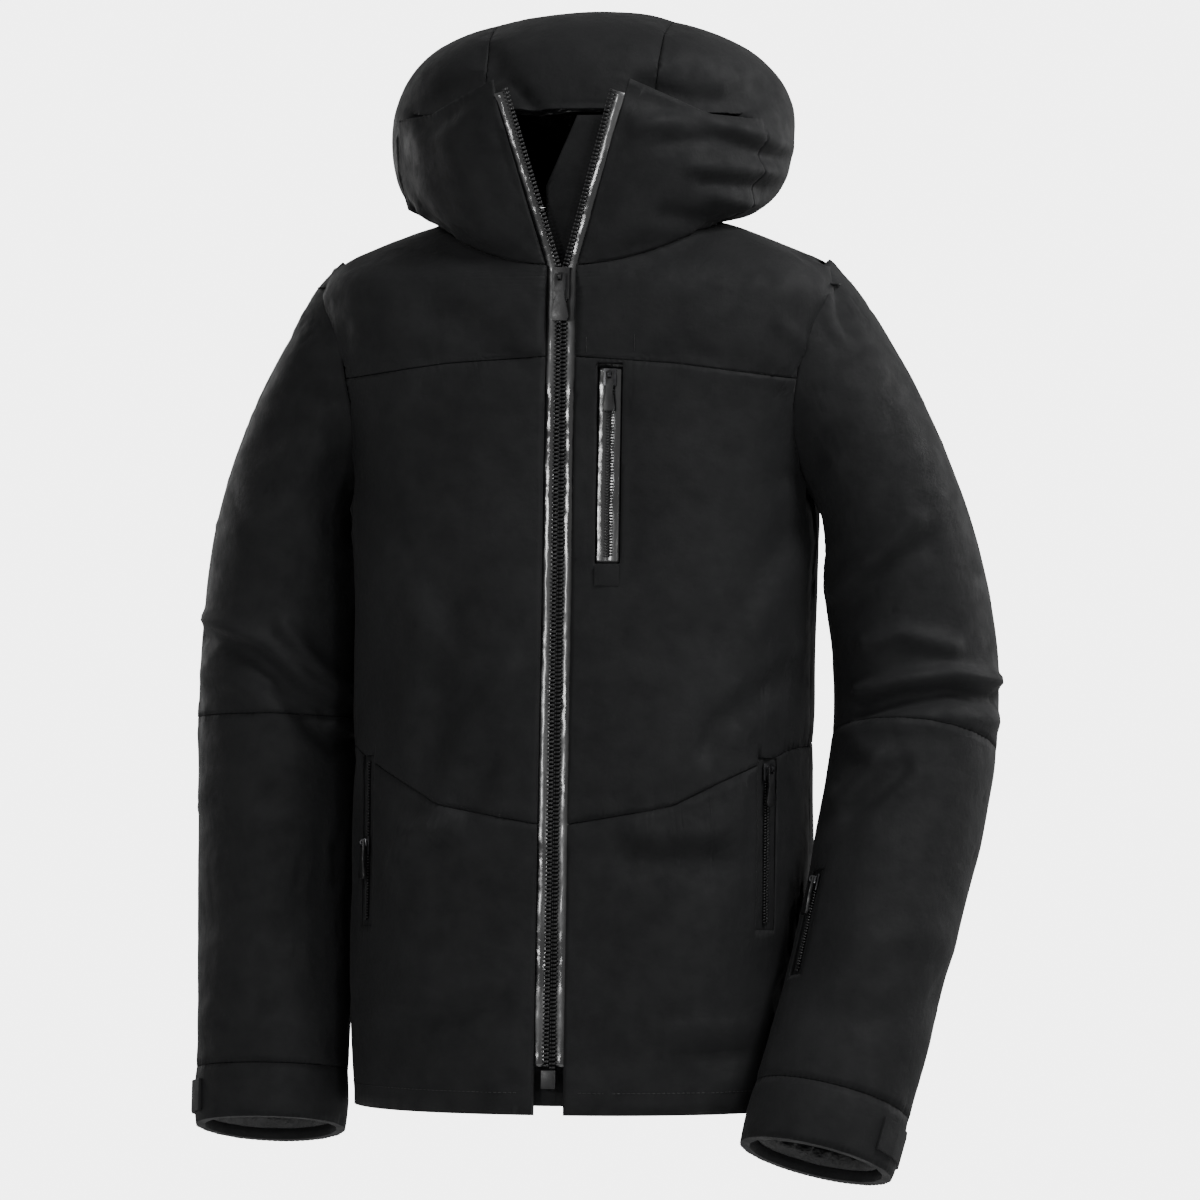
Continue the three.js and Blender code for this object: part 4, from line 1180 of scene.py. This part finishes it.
HEM_STITCHES = 17
hem = []
for turn in np.linspace(math.radians(-84), math.radians(264), 260):
    outward = Vector((math.cos(turn), math.sin(turn), 0))
    start = spot(0, 0, HEM_STITCHES) + outward * 0.6
    hit = cloth.ray_cast(start, -outward, 0.5)
    if hit[0] and abs(hit[0].x) > 0.02:
        hem.append((hit[0], hit[1]))
hem_right = [entry for entry in hem if entry[0].x < 0]
hem_left = [entry for entry in hem if entry[0].x > 0]
for name, row in (("stitches_hem_right", hem_right), ("stitches_hem_left", hem_left)):
    row.sort(key=lambda entry: math.atan2(abs(entry[0].x), -(entry[0].y - SIDE_Y)))
    stitch_row(name, row, pitch=0.0038)

# %% Bars at the chest pocket
for number, (across, low, high) in enumerate(((1, 577, 588), (38, 579, 590))):
    bar = [on_front(across, above) for above in np.linspace(low, high, 5)]
    bar = [entry for entry in bar if entry[0]]
    stitch_row(f"stitches_pocket_{number + 1}", bar, pitch=0.0014)

# %% [markdown]
# ## Floor and light
# A pale room lights the black cloth from all round, so its form shows as soft grey. One large lamp
# high on the right gives the shoulder its sheen, two at the back draw a thin edge on the sleeves, and
# two small ones in front set highlights on the zips.

# %% Pale floor and room
bpy.ops.object.select_all(action="DESELECT")
bpy.ops.mesh.primitive_circle_add(vertices=96, radius=1.9, fill_type="NGON", location=(0, 0, HEM_Z - 0.6))
floor = bpy.context.object
floor.name = "floor"
floor_paint, floor_tree, floor_shader = new_material("pale floor")
cloud = ramp_of(floor_tree, noise_of(floor_tree, 3), (0.78, 0.78, 0.78), (0.84, 0.84, 0.84))
floor_tree.links.new(cloud, floor_shader.inputs["Base Color"])
floor.data.materials.append(floor_paint)
floor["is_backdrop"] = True

world = bpy.data.worlds.new("pale room")
bpy.context.scene.world = world
world.use_nodes = True
room = world.node_tree
visible = room.nodes["Background"]
visible.inputs["Strength"].default_value = 5.0
visible.inputs["Color"].default_value = (1, 1, 1, 1)
lighting = room.nodes.new("ShaderNodeBackground")
lighting.inputs["Strength"].default_value = 0.6
ray = room.nodes.new("ShaderNodeLightPath")
choice = room.nodes.new("ShaderNodeMixShader")
room.links.new(ray.outputs["Is Camera Ray"], choice.inputs["Fac"])
room.links.new(lighting.outputs["Background"], choice.inputs[1])
room.links.new(visible.outputs["Background"], choice.inputs[2])
room.links.new(choice.outputs["Shader"], room.nodes["World Output"].inputs["Surface"])

# %% Soft lamps


def soft_lamp(name, place, lit, size, power):
    """A round lamp that faces the place it lights."""
    lamp = bpy.data.lights.new(name, "AREA")
    lamp.shape = "DISK"
    lamp.size = size
    lamp.energy = power
    holder = bpy.data.objects.new(name, lamp)
    holder.location = place
    holder.rotation_euler = (Vector(lit) - Vector(place)).to_track_quat("-Z", "Y").to_euler()
    bpy.context.scene.collection.objects.link(holder)


chest = spot(0, 0, 400)
soft_lamp("high right lamp", spot(1200, -600, 2000), spot(150, 0, 600), 0.6, 45)
soft_lamp("left edge lamp", spot(-1500, 1100, 700), chest, 1.0, 9)
soft_lamp("right edge lamp", spot(1500, 1100, 900), chest, 1.0, 14)
soft_lamp("left gloss lamp", spot(-900, -2300, 700), chest, 0.35, 14)
soft_lamp("right gloss lamp", spot(1500, -2000, 500), chest, 0.35, 14)
print("six sources of light: the room and five lamps")

# %% Print the sizes of the plain and the finished boxes, and finish
visual_box = [list(corner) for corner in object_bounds()]
for name, box in (("plain", cad_box), ("finished", visual_box)):
    print(name, [round(high - low, 4) for low, high in zip(*box)])
